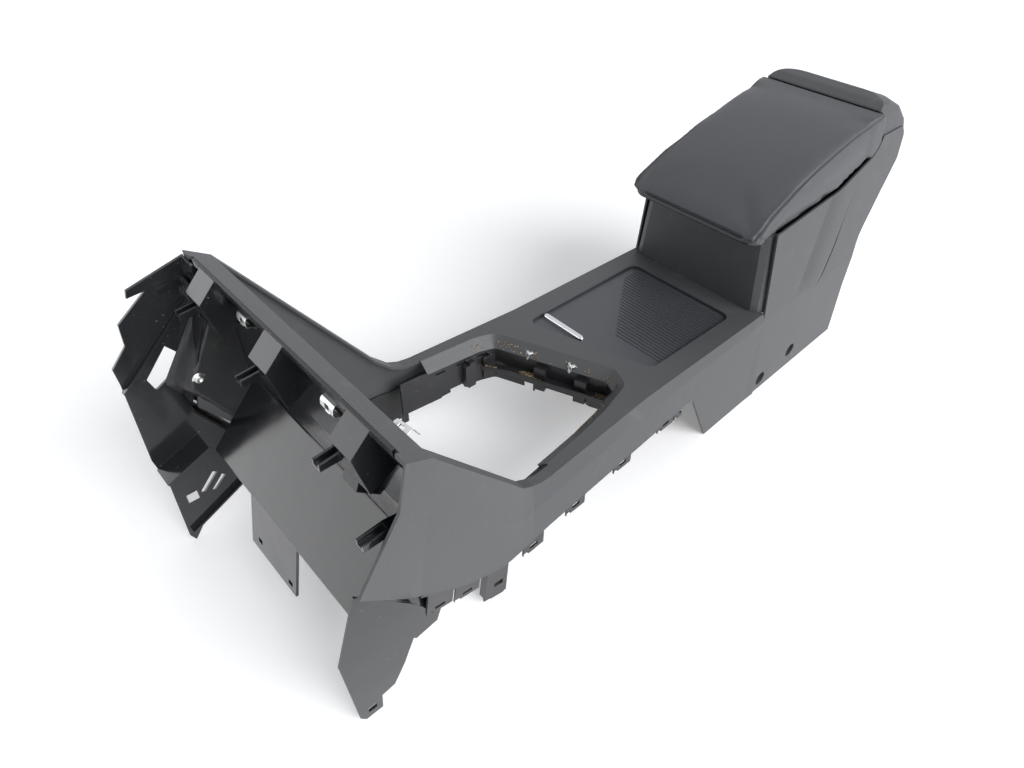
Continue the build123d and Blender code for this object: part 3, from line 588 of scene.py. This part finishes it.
class NodeGroup:
    """A geometry node tree with named inputs, run once on a piece."""

    def __init__(self, name: str, inputs: dict[str, float]) -> None:
        """Start the tree.

        Args:
            name: Name of the tree.
            inputs: Default values of the named number inputs.
        """
        self.tree = bpy.data.node_groups.new(name, "GeometryNodeTree")
        face = self.tree.interface
        face.new_socket("Geometry", in_out="INPUT", socket_type="NodeSocketGeometry")
        face.new_socket("Geometry", in_out="OUTPUT", socket_type="NodeSocketGeometry")
        self.names = {}
        for key, value in inputs.items():
            made = face.new_socket(key, in_out="INPUT", socket_type="NodeSocketFloat")
            made.default_value = value
            self.names[key] = made.identifier
        self.start = self.tree.nodes.new("NodeGroupInput")
        self.end = self.tree.nodes.new("NodeGroupOutput")

    def node(self, kind: str, settings: dict[str, Any] | None = None, **values: Any) -> Node:
        """Add a node.

        Args:
            kind: Type of the node.
            settings: The node's own settings.
            values: Inputs by name in lower case with underscores, as a socket or a plain value.

        Returns:
            The node.
        """
        made = self.tree.nodes.new(kind)
        for key, value in (settings or {}).items():
            setattr(made, key, value)
        for key, value in values.items():
            target = next(s for s in made.inputs if s.name.lower().replace(" ", "_") == key and s.enabled)
            if isinstance(value, NodeSocket):
                self.tree.links.new(value, target)
            else:
                target.default_value = value
        return made

    def maths(self, operation: str, first: Any, second: Any) -> NodeSocket:
        """Add a maths node on two sockets.

        Args:
            operation: Name of the node's operation.
            first: First socket.
            second: Second socket.

        Returns:
            The result.
        """
        made = self.node("ShaderNodeMath", {"operation": operation})
        self.tree.links.new(first, made.inputs[0])
        self.tree.links.new(second, made.inputs[1])
        return made.outputs[0]

    def close(self, finish: Material, **inputs: Any) -> None:
        """End the tree with copies of an instance on points, made real and given a material.

        Args:
            finish: Material of the result.
            inputs: The points, the instance, its rotation and its scale.
        """
        copies = self.node("GeometryNodeInstanceOnPoints", **inputs)
        real = self.node("GeometryNodeRealizeInstances", geometry=copies.outputs[0])
        done = self.node("GeometryNodeSetMaterial", geometry=real.outputs[0], material=finish)
        self.tree.links.new(done.outputs[0], self.end.inputs[0])

    def run(self, piece: Object, **inputs: float) -> None:
        """Run the tree on a piece and keep the plain mesh.

        Args:
            piece: Object whose geometry goes in.
            inputs: Values of the named inputs.
        """
        modifier = piece.modifiers.new(self.tree.name, "NODES")
        modifier.node_group = self.tree
        for key, value in inputs.items():
            modifier[self.names[key]] = value
        baked(piece)


@dataclass
class Armrest:
    """Padded armrest with a stitched seam along each upper side edge. Sizes are in millimetres."""

    finishes: Finishes
    voxel: float = 4.0
    shrink: float = 1.6
    swell: float = 3.6
    pressure: float = 4.0
    frames: int = 20
    rounding: int = 34
    settling: int = 10
    stiffness: float = 60.0
    bending: float = 12.0
    held_near: float = 2.2
    held_behind: float = -215.0
    edge_band: float = 16.0
    edge_full: float = 1.3
    edge_from: float = 91.0
    edge_snap: float = 2.6
    cover_least: float = 1.2
    cover_near: float = 8.0
    cover_deep: float = 6.0
    heel_from: float = -207.0
    heel_fade: float = 14.0
    seam_inset: float = 14.0
    seam_half: float = 97.0
    seam_first: float = -222.0
    seam_last: float = 49.0
    seam_points: int = 90
    groove_depth: float = 1.9
    groove_width: float = 3.4
    stitch_pitch: float = 4.6
    stitch_radius: float = 0.42
    stitch_spread: float = 2.6

    def build(self) -> list[Object]:
        """Build the padding, its seams and their stitches.

        Returns:
            The pieces, all on the lid.
        """
        pad = self._pad()
        seams = [self._seam(pad, side) for side in (1, -1)]
        self._press_grooves(pad, seams)
        rows = [self._stitches(pad, seam, side) for seam, side in zip(seams, ("left", "right"))]
        return [pad, *rows]

    def _pad(self) -> Object:
        """Make the padding from the plain solid by remeshing, rounding and inflating it."""
        source = frame["nodes"]["armrest_pad"].data.copy()
        work = bmesh.new()
        work.from_mesh(source)
        bmesh.ops.remove_doubles(work, verts=work.verts, dist=0.00001)
        work.to_mesh(source)
        work.free()
        solid = tree_of(source)
        pad = new_piece("armrest_leather_pad", source, self.finishes.leather)
        shaped(pad, "REMESH", mode="VOXEL", voxel_size=self.voxel * MM)
        self._held_group(pad)
        self._smoothed(pad, self.rounding)
        self._inflate(pad)
        self._smoothed(pad, self.settling)
        self._seated(pad, solid)
        shaped(pad, "SUBSURF", levels=1, render_levels=1)
        shaded_smooth(pad.data)
        pad.data.materials.clear()
        pad.data.materials.append(self.finishes.leather)
        return pad

    def _smoothed(self, pad: Object, rounds: int) -> None:
        """Move the padding's free points halfway to their neighbours' middle, in some rounds."""
        shaped(pad, "SMOOTH", factor=0.5, iterations=rounds, vertex_group="held", invert_vertex_group=True)

    def _held_group(self, pad: Object) -> None:
        """Group the points that rest on the stiff pan or line the hinge's slots."""
        pan = tree_of(frame["nodes"]["lid_pan"].data)
        group = pad.vertex_groups.new(name="held")
        reach = self.held_near * MM
        behind = place(self.held_behind, 0.0, 0.0).x
        for vertex in pad.data.vertices:
            near = pan.find_nearest(vertex.co)[3]
            if near < reach or vertex.co.x < behind:
                group.add([vertex.index], 1.0, "REPLACE")

    def _seated(self, pad: Object, solid: BVHTree) -> None:
        """Bring the lower side edges and the heel back to their true outline, and cover the pan.

        Args:
            pad: The padding.
            solid: Search tree of the plain solid.
        """
        pan = tree_of(frame["nodes"]["lid_pan"].data)
        heel = place(self.heel_from, 0.0, 0.0).x
        up = Vector((0, 0, 1))
        for vertex in pad.data.vertices:
            near = solid.find_nearest(vertex.co)[0]
            share = clamped((heel - vertex.co.x) / (self.heel_fade * MM) + 1.0)
            side = math.copysign(1.0, vertex.co.y)
            low = solid.ray_cast(Vector((vertex.co.x, side * self.seam_half * MM, UNDER_LID * MM)), up)[0]
            if low is not None and abs(vertex.co.y) / MM > self.edge_from:
                above = (vertex.co.z - low.z) / MM
                share = max(share, clamped(self.edge_full - above / self.edge_band))
                level = Vector((low.x, side * BESIDE * MM, low.z + 0.5 * MM))
                face = solid.ray_cast(level, Vector((0, -side, 0)))[0]
                if face is not None and above < self.edge_snap:
                    if (face - vertex.co).dot(Vector((0, side, 0))) < self.edge_snap * MM:
                        near = Vector((low.x, face.y, low.z))
            vertex.co = vertex.co.lerp(near, share)
            spot, normal, _, away = pan.find_nearest(vertex.co)
            inside = (vertex.co - spot).dot(normal) / MM
            covers = away < self.cover_near * MM and -self.cover_deep < inside < self.cover_least
            if covers and normal.z > -0.5 and share < 1.0:
                vertex.co = spot + normal * self.cover_least * MM

    def _inflate(self, pad: Object) -> None:
        """Swell the padding by a cloth simulation under pressure, up to a small cap."""
        group = pad.vertex_groups["held"].index
        free = [all(g.group != group for g in v.groups) for v in pad.data.vertices]
        for vertex, loose in zip(pad.data.vertices, free):
            if loose:
                vertex.co -= vertex.normal * self.shrink * MM
        start = [v.co.copy() for v in pad.data.vertices]
        cloth = pad.modifiers.new("padding", "CLOTH")
        settings = cloth.settings
        settings.quality = 8
        settings.tension_stiffness = settings.compression_stiffness = self.stiffness
        settings.bending_stiffness = self.bending
        settings.use_pressure = True
        settings.uniform_pressure_force = self.pressure
        settings.vertex_group_mass = "held"
        settings.effector_weights.gravity = 0.0
        scene = bpy.context.scene
        for number in range(1, self.frames + 1):
            scene.frame_set(number)
        baked(pad)
        scene.frame_set(1)
        most = (self.shrink + self.swell) * MM
        for vertex, home in zip(pad.data.vertices, start):
            move = vertex.co - home
            if move.length > most:
                vertex.co = home + move.normalized() * most

    def _seam(self, pad: Object, side: int) -> list[Vector]:
        """Trace the seam on the padding's upper side edge.

        Args:
            pad: The padding.
            side: 1 on the left and -1 on the right.

        Returns:
            Points on the leather from the back to the nose.
        """
        tree = tree_of(pad.data)
        inward = Vector((0.0, -side, -1.0)).normalized()
        points = []
        for number in range(self.seam_points):
            share = number / (self.seam_points - 1)
            run = self.seam_first + share * (self.seam_last - self.seam_first)
            start = place(run, side * (self.seam_half - self.seam_inset), OVER_LID)
            top = tree.ray_cast(start, Vector((0, 0, -1)))[0]
            if top is None:
                continue
            edge = Vector((top.x, side * self.seam_half * MM, top.z))
            hit = tree.ray_cast(edge - inward * 0.05, inward)[0]
            if hit is not None:
                points.append(hit)
        return points

    def _press_grooves(self, pad: Object, seams: Sequence[Sequence[Vector]]) -> None:
        """Press a narrow groove into the leather along each seam."""
        points = [p for seam in seams for p in dense(seam, 0.6 * MM)]
        search = KDTree(len(points))
        for number, point in enumerate(points):
            search.insert(point, number)
        search.balance()
        width = self.groove_width * MM
        for vertex in pad.data.vertices:
            away = search.find(vertex.co)[2]
            if away < width:
                depth = 0.5 + 0.5 * math.cos(math.pi * away / width)
                vertex.co -= vertex.normal * depth * self.groove_depth * MM

    def _stitches(self, pad: Object, seam: Sequence[Vector], side: str) -> Object:
        """Sew two rows of stitches beside the seam.

        Args:
            pad: The padding.
            seam: Points of the seam.
            side: Word for the piece's name.

        Returns:
            The stitches as one mesh.
        """
        tree = tree_of(pad.data)
        rows = []
        for offset in (-self.stitch_spread, self.stitch_spread):
            row = []
            for before, here, after in zip(seam, seam[1:], seam[2:]):
                normal = tree.find_nearest(here)[1]
                across = (after - before).cross(normal).normalized()
                near, normal, _, _ = tree.find_nearest(here + across * offset * MM)
                row.append(near + normal * self.stitch_radius * 0.3 * MM)
            rows.append(row)
        thread = self.finishes.thread
        piece = new_piece(f"armrest_stitches_{side}", polyline_mesh("stitch_rows", rows), thread)
        pitch, radius = self.stitch_pitch * MM, self.stitch_radius * MM
        stitch_group(thread).run(piece, Pitch=pitch, Radius=radius, Length=self.stitch_pitch * 0.68 * MM)
        return piece


def dense(points: Sequence[Vector], step: float) -> list[Vector]:
    """Divide a line of points into short steps.

    Args:
        points: The line.
        step: Largest distance between two points of the result, in metres.

    Returns:
        The finer line.
    """
    result = [points[0]]
    for start, end in zip(points, points[1:]):
        count = max(1, math.ceil((end - start).length / step))
        result += [start.lerp(end, n / count) for n in range(1, count + 1)]
    return result


def polyline_mesh(name: str, lines: Sequence[Sequence[Vector]]) -> Mesh:
    """Make a mesh of loose edges along lines of points."""
    points, edges = [], []
    for line in lines:
        edges += [(len(points) + n, len(points) + n + 1) for n in range(len(line) - 1)]
        points += line
    return new_mesh(name, points, edges)


def stitch_group(finish: Material) -> NodeGroup:
    """Node tree that lays short rounded stitches end to end along lines."""
    group = NodeGroup("stitch_rows", {"Pitch": 0.004, "Radius": 0.0004, "Length": 0.003})
    start = group.start.outputs
    line = group.node("GeometryNodeMeshToCurve", mesh=start["Geometry"])
    even = group.node(
        "GeometryNodeResampleCurve", {"mode": "LENGTH"}, curve=line.outputs[0], length=start["Pitch"]
    )
    body = group.node("GeometryNodeMeshUVSphere", segments=8, rings=6, radius=1.0)
    size = group.node("ShaderNodeCombineXYZ", x=start["Radius"], y=start["Radius"], z=start["Length"])
    half = group.node("ShaderNodeVectorMath", {"operation": "MULTIPLY"})
    group.tree.links.new(size.outputs[0], half.inputs[0])
    half.inputs[1].default_value = (1.0, 1.0, 0.5)
    tangent = group.node("GeometryNodeInputTangent")
    turn = group.node("FunctionNodeAlignRotationToVector", {"axis": "Z"}, vector=tangent.outputs[0])
    group.close(
        finish,
        points=even.outputs[0],
        instance=body.outputs[0],
        rotation=turn.outputs[0],
        scale=half.outputs[0],
    )
    return group


def draped_patch(
    name: str, tree: BVHTree, runs: Sequence[float], ys: Sequence[float], low: float, high: float
) -> Mesh:
    """Make a mesh that lies on a surface, where the surface has a wanted height.

    Args:
        name: Name of the mesh.
        tree: Search tree of the surface.
        runs: Runs of its rows, in millimetres.
        ys: Y of its columns, in millimetres.
        low: Least height kept, in millimetres.
        high: Greatest height kept, in millimetres.

    Returns:
        The mesh.
    """
    points, numbers = [], {}
    for i, run in enumerate(runs):
        for j, y in enumerate(ys):
            hit = tree.ray_cast(place(run, y, OVER_LIP), Vector((0, 0, -1)))[0]
            if hit is not None and low < hit.z / MM < high:
                numbers[i, j] = len(points)
                points.append(hit)
    faces = []
    for i, j in numbers:
        corners = ((i, j), (i + 1, j), (i + 1, j + 1), (i, j + 1))
        if all(corner in numbers for corner in corners):
            faces.append([numbers[corner] for corner in corners])
    return new_mesh(name, points, faces=faces)


def steps(first: float, last: float, size: float) -> list[float]:
    """Evenly spaced numbers from a first to a last."""
    count = round((last - first) / size)
    return [first + number * (last - first) / count for number in range(count + 1)]


def crumb_group(finish: Material) -> NodeGroup:
    """Node tree that scatters small dry crumbs in heaps over a patch."""
    group = NodeGroup("scattered_crumbs", {"Density": 90000.0, "Size": 0.0006, "Stretch": 1.0, "Heaps": 70.0})
    start = group.start.outputs
    blots = group.node("ShaderNodeTexNoise", scale=start["Heaps"], detail=2.0)
    heaps = group.node("ShaderNodeMapRange", value=blots.outputs[0], from_min=0.46, from_max=0.66)
    density = group.maths("MULTIPLY", heaps.outputs[0], start["Density"])
    spots = group.node("GeometryNodeDistributePointsOnFaces", mesh=start["Geometry"], density=density, seed=4)
    vector = {"data_type": "FLOAT_VECTOR"}
    long = group.maths("MULTIPLY", start["Size"], start["Stretch"])
    shape = group.node("ShaderNodeCombineXYZ", x=start["Size"], y=start["Size"], z=long)
    vary = group.node("FunctionNodeRandomValue", vector, min=(0.5,) * 3, max=(1.7,) * 3, seed=5)
    scale = group.node("ShaderNodeVectorMath", {"operation": "MULTIPLY"})
    group.tree.links.new(shape.outputs[0], scale.inputs[0])
    group.tree.links.new(vary.outputs[0], scale.inputs[1])
    turn = group.node("FunctionNodeRandomValue", vector, min=(0.9, 0, 0), max=(2.2, 6, 6), seed=6)
    grain = group.node("GeometryNodeMeshIcoSphere", radius=1.0, subdivisions=1)
    group.close(
        finish,
        points=spots.outputs[0],
        instance=grain.outputs[0],
        rotation=turn.outputs[0],
        scale=scale.outputs[0],
    )
    return group


@dataclass
class SelectorOpening:
    """Ledge inside the rear of the selector opening, with dry crumbs on it and on the rolled lip."""

    finishes: Finishes
    wall: Outline = (
        (322.0, -97.0), (299.0, -62.0), (283.0, -22.0), (265.0, 18.0), (248.0, 58.0), (246.0, 78.0),
    )
    height: float = 119.0
    width: float = 15.0
    thick: float = 2.4
    rim: float = 4.0
    rim_thick: float = 1.8
    round: float = 0.5
    lip_low: float = 144.5
    lip_high: float = 153.5
    litter_runs: tuple[float, float] = (228.0, 352.0)
    litter_ys: tuple[float, float] = (-114.0, 112.0)
    litter_step: float = 2.0

    def build(self) -> list[Object]:
        """Build the ledge and the crumbs.

        Returns:
            The pieces.
        """
        ledge = self._ledge()
        trim = tree_of(frame["nodes"]["upper_trim"].data)
        soil = self.finishes.soil
        runs = steps(*self.litter_runs, self.litter_step)
        ys = steps(*self.litter_ys, self.litter_step)
        lip = new_piece("lip_crumbs", draped_patch("lip", trim, runs, ys, self.lip_low, self.lip_high), soil)
        crumb_group(soil).run(lip, Density=260000.0, Size=0.00062, Stretch=1.8)
        floor = draped_patch("ledge_top", tree_of(ledge.data), runs, ys, self.height - 1.0, self.height + 1.0)
        litter = new_piece("ledge_crumbs", floor, soil)
        crumb_group(soil).run(litter, Density=620000.0, Size=0.0007, Stretch=3.2, Heaps=40.0)
        return [ledge, lip, litter]

    def _ledge(self) -> Object:
        """Make the ledge, with a low rim along its free edge."""
        inner = self.width - self.rim_thick
        section = [
            (0.0, -self.thick), (self.width, -self.thick), (self.width, self.rim),
            (inner, self.rim), (inner, 0.0), (0.0, 0.0),
        ]
        rings = []
        for number, (run, y) in enumerate(self.wall):
            before = Vector(self.wall[max(0, number - 1)])
            after = Vector(self.wall[min(len(self.wall) - 1, number + 1)])
            along = (after - before).normalized()
            out = Vector((along.y, -along.x))
            rings.append([place(run + out.x * a, y + out.y * a, self.height + z) for a, z in section])
        piece = new_piece("selector_ledge", swept("selector_ledge", rings), self.finishes.inner)
        shaped(piece, "BEVEL", width=self.round * MM, segments=2)
        return piece


@dataclass(frozen=True)
class ClipSeat:
    """Where a spring clip sits: its place in millimetres and its turns in degrees."""

    run: float
    y: float
    z: float
    lean: float
    turn: float
    size: float = 1.0


@dataclass
class SpringClips:
    """Spring clips of bent sheet on the rim, the wall and round the opening. Sizes are in millimetres."""

    finishes: Finishes
    thick: float = 0.8
    width: float = 14.0
    round: float = 0.2
    seats: tuple[ClipSeat, ...] = (
        ClipSeat(616.5, -95.0, 337.5, 82.0, 0.0, 1.25),
        ClipSeat(616.5, 57.0, 334.0, 82.0, 0.0, 1.45),
        ClipSeat(599.5, 139.0, 357.0, 20.0, 8.0, 1.3),
        ClipSeat(362.0, -107.0, 149.0, 0.0, 92.0),
        ClipSeat(288.0, -45.0, 149.5, 0.0, -22.0),
        ClipSeat(266.0, 10.0, 150.0, 0.0, -22.0),
        ClipSeat(284.0, 101.0, 149.5, 0.0, 80.0),
        ClipSeat(348.0, 106.0, 149.0, 0.0, 88.0),
    )

    def build(self) -> Object:
        """Build every clip as one mesh of separate clips.

        Returns:
            The piece.
        """
        model = self._model()
        mesh = new_mesh("clip_seats", [place(s.run, s.y, s.z) for s in self.seats])
        mesh.attributes.new("turn", "FLOAT_VECTOR", "POINT")
        mesh.attributes.new("size", "FLOAT", "POINT")
        turns, sizes = mesh.attributes["turn"], mesh.attributes["size"]
        for number, seat in enumerate(self.seats):
            turns.data[number].vector = (0.0, math.radians(seat.lean), math.radians(seat.turn))
            sizes.data[number].value = seat.size
        piece = new_piece("spring_clips", mesh, self.finishes.zinc)
        group = NodeGroup("seated_clips", {"Size": 1.0})
        shape = group.node("GeometryNodeObjectInfo", object=model)
        turn = group.node("GeometryNodeInputNamedAttribute", {"data_type": "FLOAT_VECTOR"}, name="turn")
        size = group.node("GeometryNodeInputNamedAttribute", {"data_type": "FLOAT"}, name="size")
        group.close(
            self.finishes.zinc,
            points=group.start.outputs["Geometry"],
            instance=shape.outputs["Geometry"],
            rotation=turn.outputs[0],
            scale=group.maths("MULTIPLY", size.outputs[0], group.start.outputs["Size"]),
        )
        group.run(piece, Size=1.0)
        bpy.data.objects.remove(model)
        return piece

    def _model(self) -> Object:
        """Make one clip: a folded strip with windows, and a loose tongue in front of its front leg."""
        path = [
            (-5.2, -8.5), (-4.0, -3.0), (-3.6, 0.6), (-1.8, 1.6),
            (1.8, 1.6), (3.6, 0.6), (4.0, -3.0), (6.4, -7.0),
        ]
        half, slot = self.width / 2, self.width / 6
        columns = [-half, -slot, slot, half]
        points = [(a * MM, y * MM, z * MM) for a, z in path for y in columns]
        points += [((a + 1.6) * MM, y * MM, z * MM) for a, z in (path[4], path[6]) for y in (-slot, slot)]
        windows = [row * len(columns) + 1 for row in (0, 3, 5)]
        faces = [face for face in grid_faces(len(path), len(columns)) if face[0] not in windows]
        tongue = len(points) - 4
        faces.append((tongue, tongue + 1, tongue + 3, tongue + 2))
        model = new_piece("clip_model", new_mesh("clip_model", points, faces=faces), self.finishes.zinc)
        shaped(model, "SOLIDIFY", thickness=self.thick * MM)
        shaped(model, "BEVEL", width=self.round * MM, segments=1)
        return model


@dataclass
class ShellScrew:
    """Bright screw with a washer on the lining, beside its seat in the shell. Sizes in millimetres."""

    finishes: Finishes
    run: float = 659.0
    face_y: float = -156.9
    z: float = 246.0
    facets: int = 32
    section: Outline = (
        (0.0, 1.3), (1.9, 1.3), (2.3, 3.2), (3.9, 2.8), (4.7, 1.6),
        (5.0, 0.7), (7.2, 0.6), (7.4, 0.2), (7.4, -0.4),
    )

    def build(self) -> Object:
        """Turn the section about the screw's axis.

        Returns:
            The piece.
        """
        centre = place(self.run, self.face_y, self.z)
        points = []
        rings = len(self.section)
        for number in range(self.facets):
            angle = 2 * math.pi * number / self.facets
            for radius, high in self.section:
                offset = Vector((radius * math.cos(angle), high, radius * math.sin(angle))) * MM
                points.append(centre + offset)
        faces = grid_faces(self.facets, rings, around=True)
        faces.append([number * rings + rings - 1 for number in range(self.facets)])
        mesh = new_mesh("shell_screw", points, faces=faces)
        mended(mesh)
        shaded_smooth(mesh)
        return new_piece("shell_screw", mesh, self.finishes.zinc)


@dataclass
class InnerLining:
    """Dark lining over the right arm's inner wall, with a guessed outline. Sizes are in millimetres."""

    finishes: Finishes
    first: float = 604.0
    low: float = 128.0
    high: float = 318.0
    peak: float = 240.0
    peak_run: float = 673.0
    fall_below: float = 0.6
    fall_above: float = 0.72
    reach: float = 15.0
    bend: float = 10.0
    clear: float = 1.5
    thick: float = 1.2
    shell_y: float = -180.6
    loose_y: float = -146.6
    middle_y: float = -60.0

    def build(self) -> Object:
        """Drape the lining on the wall and carry it over to the shell.

        Returns:
            The piece.
        """
        trim = tree_of(frame["nodes"]["upper_trim"].data)
        rows, shares = steps(self.low, self.high, 5.0), steps(0.0, 1.0, 0.05)
        points = []
        for z in rows:
            under = self.peak - z
            edge = self.peak_run - (self.fall_below * under if under > 0 else self.fall_above * -under)
            wall = self.loose_y
            for share in shares:
                run = self.first + share * (edge + self.reach - self.first)
                hit = trim.ray_cast(place(run, self.middle_y, z), Vector((0, -1, 0)))[0]
                if hit is not None and run < edge + 1.0:
                    wall = hit.y / MM + self.clear
                beyond = clamped((run - edge) / self.bend)
                points.append(place(run, wall + beyond * (self.shell_y - wall), z))
        mesh = new_mesh("arm_lining", points, faces=grid_faces(len(rows), len(shares)))
        piece = new_piece("arm_lining_right", mesh, self.finishes.inner)
        shaped(piece, "SOLIDIFY", thickness=self.thick * MM, offset=0.0)
        shaded_smooth(piece.data)
        return piece


@dataclass
class LidGapSeal:
    """Soft strip on the rear cap that closes the slit behind the lid's heel. Sizes are in millimetres."""

    finishes: Finishes
    hinge_run: float = -203.5
    hinge_z: float = 345.0
    inner: float = 34.7
    outer: float = 36.4
    first: float = 129.0
    last: float = 150.0
    half: float = 88.0

    def build(self) -> Object:
        """Sweep the strip's arc across the lid.

        Returns:
            The piece.
        """
        arc = [math.radians(angle) for angle in steps(self.first, self.last, 3.0)]
        ring = [(self.inner, angle) for angle in arc] + [(self.outer, angle) for angle in reversed(arc)]
        rings = [
            [place(self.hinge_run + r * math.cos(a), y, self.hinge_z + r * math.sin(a)) for r, a in ring]
            for y in steps(-self.half, self.half, 11.0)
        ]
        return new_piece("lid_gap_seal", swept("gap_seal", rings), self.finishes.leather)


def seen_share(shader: Shader) -> Socket:
    """1 for rays by which the camera, gloss or glass sees a surface, and 0 for its light on others."""
    kinds = ("Camera", "Glossy", "Transmission")
    rays = [shader.node("ShaderNodeLightPath", output=f"Is {kind} Ray") for kind in kinds]
    return rays[0] + rays[1] + rays[2]


@dataclass
class Stage:
    """Pale floor, soft light and the camera at the photograph's viewpoint."""

    camera_place: Triple = (0.59371, 0.48298, 0.75668)
    yaw: float = 227.69
    pitch: float = 42.09
    roll: float = 0.66
    lens: float = 25.73
    floor_half: float = 12.0
    floor_glow: float = 0.24
    surround: float = 0.46
    forward_dim: float = 0.24
    sun_aim: Triple = (-0.1, 0.85, 0.5)
    sun_strength: float = 3.7
    sun_width: float = 50.0
    window_place: Triple = (1.7, -1.25, 0.45)
    window_aim: Triple = (0.45, 0.0, 0.2)
    window_size: float = 1.5
    window_power: float = 11.0

    def build(self) -> None:
        """Build the stage."""
        self._floor()
        self._world()
        self._lamps()
        self._camera()

    def _floor(self) -> None:
        """Lay a wide pale floor under the console."""
        size, drop = self.floor_half, -0.0005
        corners = [(x * size, y * size, drop) for x, y in ((-1, -1), (1, -1), (1, 1), (-1, 1))]
        mesh = new_mesh("floor", corners, faces=[(0, 1, 2, 3)])
        shader = Shader("pale_floor")
        seen = seen_share(shader) * self.floor_glow
        shader.finish(
            base_color=(0.9, 0.9, 0.91),
            roughness=0.6,
            specular_ior_level=0.2,
            emission_color=shader.mix(seen, (0.0, 0.0, 0.0), (1.0, 1.0, 1.0)),
            emission_strength=1.0,
        )
        new_piece("floor", mesh, shader.material)

    def _world(self) -> None:
        """Light everything from a pale surround that is dimmer in front of the console."""
        world = bpy.data.worlds.new("studio")
        bpy.context.scene.world = world
        world.use_nodes = True
        tree = world.node_tree
        background = tree.nodes["Background"]
        background.inputs["Color"].default_value = (0.95, 0.97, 1.0, 1.0)
        kinds = ("LightPath", "TexCoord", "SeparateXYZ", "Math", "Math", "MapRange")
        rays, way, parts, soft, seen, strength = (tree.nodes.new(f"ShaderNode{kind}") for kind in kinds)
        soft.operation = "MULTIPLY_ADD"
        soft.inputs[1].default_value = -self.forward_dim
        soft.inputs[2].default_value = self.surround
        for output, target in (
            (way.outputs["Generated"], parts.inputs[0]),
            (parts.outputs["X"], soft.inputs[0]),
            (soft.outputs[0], strength.inputs["To Min"]),
            (rays.outputs["Is Camera Ray"], seen.inputs[0]),
            (rays.outputs["Is Glossy Ray"], seen.inputs[1]),
            (seen.outputs[0], strength.inputs["Value"]),
            (strength.outputs[0], background.inputs["Strength"]),
        ):
            tree.links.new(output, target)

    def _lamps(self) -> None:
        """Light the console's left side broadly, and let a window mirror in the smooth plastic."""
        data = bpy.data.lights.new("side_sun", "SUN")
        data.energy = self.sun_strength
        data.angle = math.radians(self.sun_width)
        sun = linked("side_sun", data)
        sun.rotation_euler = Vector(self.sun_aim).to_track_quat("Z", "Y").to_euler()
        data = bpy.data.lights.new("window_lamp", "AREA")
        data.size = self.window_size
        data.energy = self.window_power
        window = linked("window_lamp", data)
        window.location = self.window_place
        aim = Vector(self.window_aim) - Vector(self.window_place)
        window.rotation_euler = aim.to_track_quat("-Z", "Y").to_euler()
        window.visible_diffuse = False

    def _camera(self) -> None:
        """Stand the camera where the photograph was taken from."""
        yaw, pitch, roll = (math.radians(a) for a in (self.yaw, self.pitch, self.roll))
        ahead = Vector((math.cos(yaw) * math.cos(pitch), math.sin(yaw) * math.cos(pitch), -math.sin(pitch)))
        right = ahead.cross(Vector((0, 0, 1))).normalized()
        up = right.cross(ahead)
        rolled = right * math.cos(roll) + up * math.sin(roll)
        up = up * math.cos(roll) - right * math.sin(roll)
        data = bpy.data.cameras.new("camera")
        data.lens = self.lens
        data.sensor_width = 36.0
        data.clip_start = 0.01
        camera = linked("camera", data)
        turn = Matrix((rolled, up, -ahead)).transposed().to_4x4()
        camera.matrix_world = Matrix.Translation(self.camera_place) @ turn
        bpy.context.scene.camera = camera


@dataclass
class Console:
    """The whole console: its dressed solids and the pieces added to them."""

    finishes: Finishes

    def dress(self) -> None:
        """Give every solid its finish."""
        slots = {row["node"]: row["material_slot"] for row in frame["record"]["subparts"]}
        finish_of = {
            Slot.TRIM: self.finishes.trim,
            Slot.INNER: self.finishes.inner,
            Slot.CARRIER: self.finishes.carrier,
            Slot.COVER: self.finishes.cover,
            Slot.LEATHER: self.finishes.leather,
            Slot.CHROME: self.finishes.chrome,
            Slot.STEEL: self.finishes.zinc,
        }
        for name, node in sorted(frame["nodes"].items()):
            # The tower's side panels take the finish with painted shade in the sunk band.
            finish = self.finishes.tower if name in TOWER_SIDES else finish_of[Slot(slots[name])]
            node.data.materials.clear()
            node.data.materials.append(finish)
            log.info("dressed %s in %s", name, finish.name)

    def add(self, pieces: Iterable[Object], body: Body, slot: Slot) -> None:
        """Fix finished pieces to a body.

        Args:
            pieces: The pieces.
            body: Body that carries them.
            slot: Record slot of their finish; not used.
        """
        for piece in pieces:
            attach(piece, body.value)
            log.info("placed %s on %s, %d faces", piece.name, body.value, len(piece.data.polygons))


def main() -> None:
    """Build the console's looks and the stage, in order."""
    logging.basicConfig(level=logging.INFO, format="%(message)s")
    scene = bpy.context.scene
    scene.view_settings.view_transform = "Standard"
    finishes = Finishes()
    console = Console(finishes)
    console.dress()
    padding = Armrest(finishes).build()
    console.add(padding, Body.LID, Slot.LEATHER)
    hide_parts("armrest_pad")
    console.add([LidGapSeal(finishes).build()], Body.CONSOLE, Slot.LEATHER)
    ledge, *crumbs = SelectorOpening(finishes).build()
    console.add([ledge, *crumbs], Body.CONSOLE, Slot.INNER)
    console.add([InnerLining(finishes).build()], Body.CONSOLE, Slot.INNER)
    console.add([SpringClips(finishes).build(), ShellScrew(finishes).build()], Body.CONSOLE, Slot.STEEL)
    Stage().build()


if __name__ == "__main__":
    main()
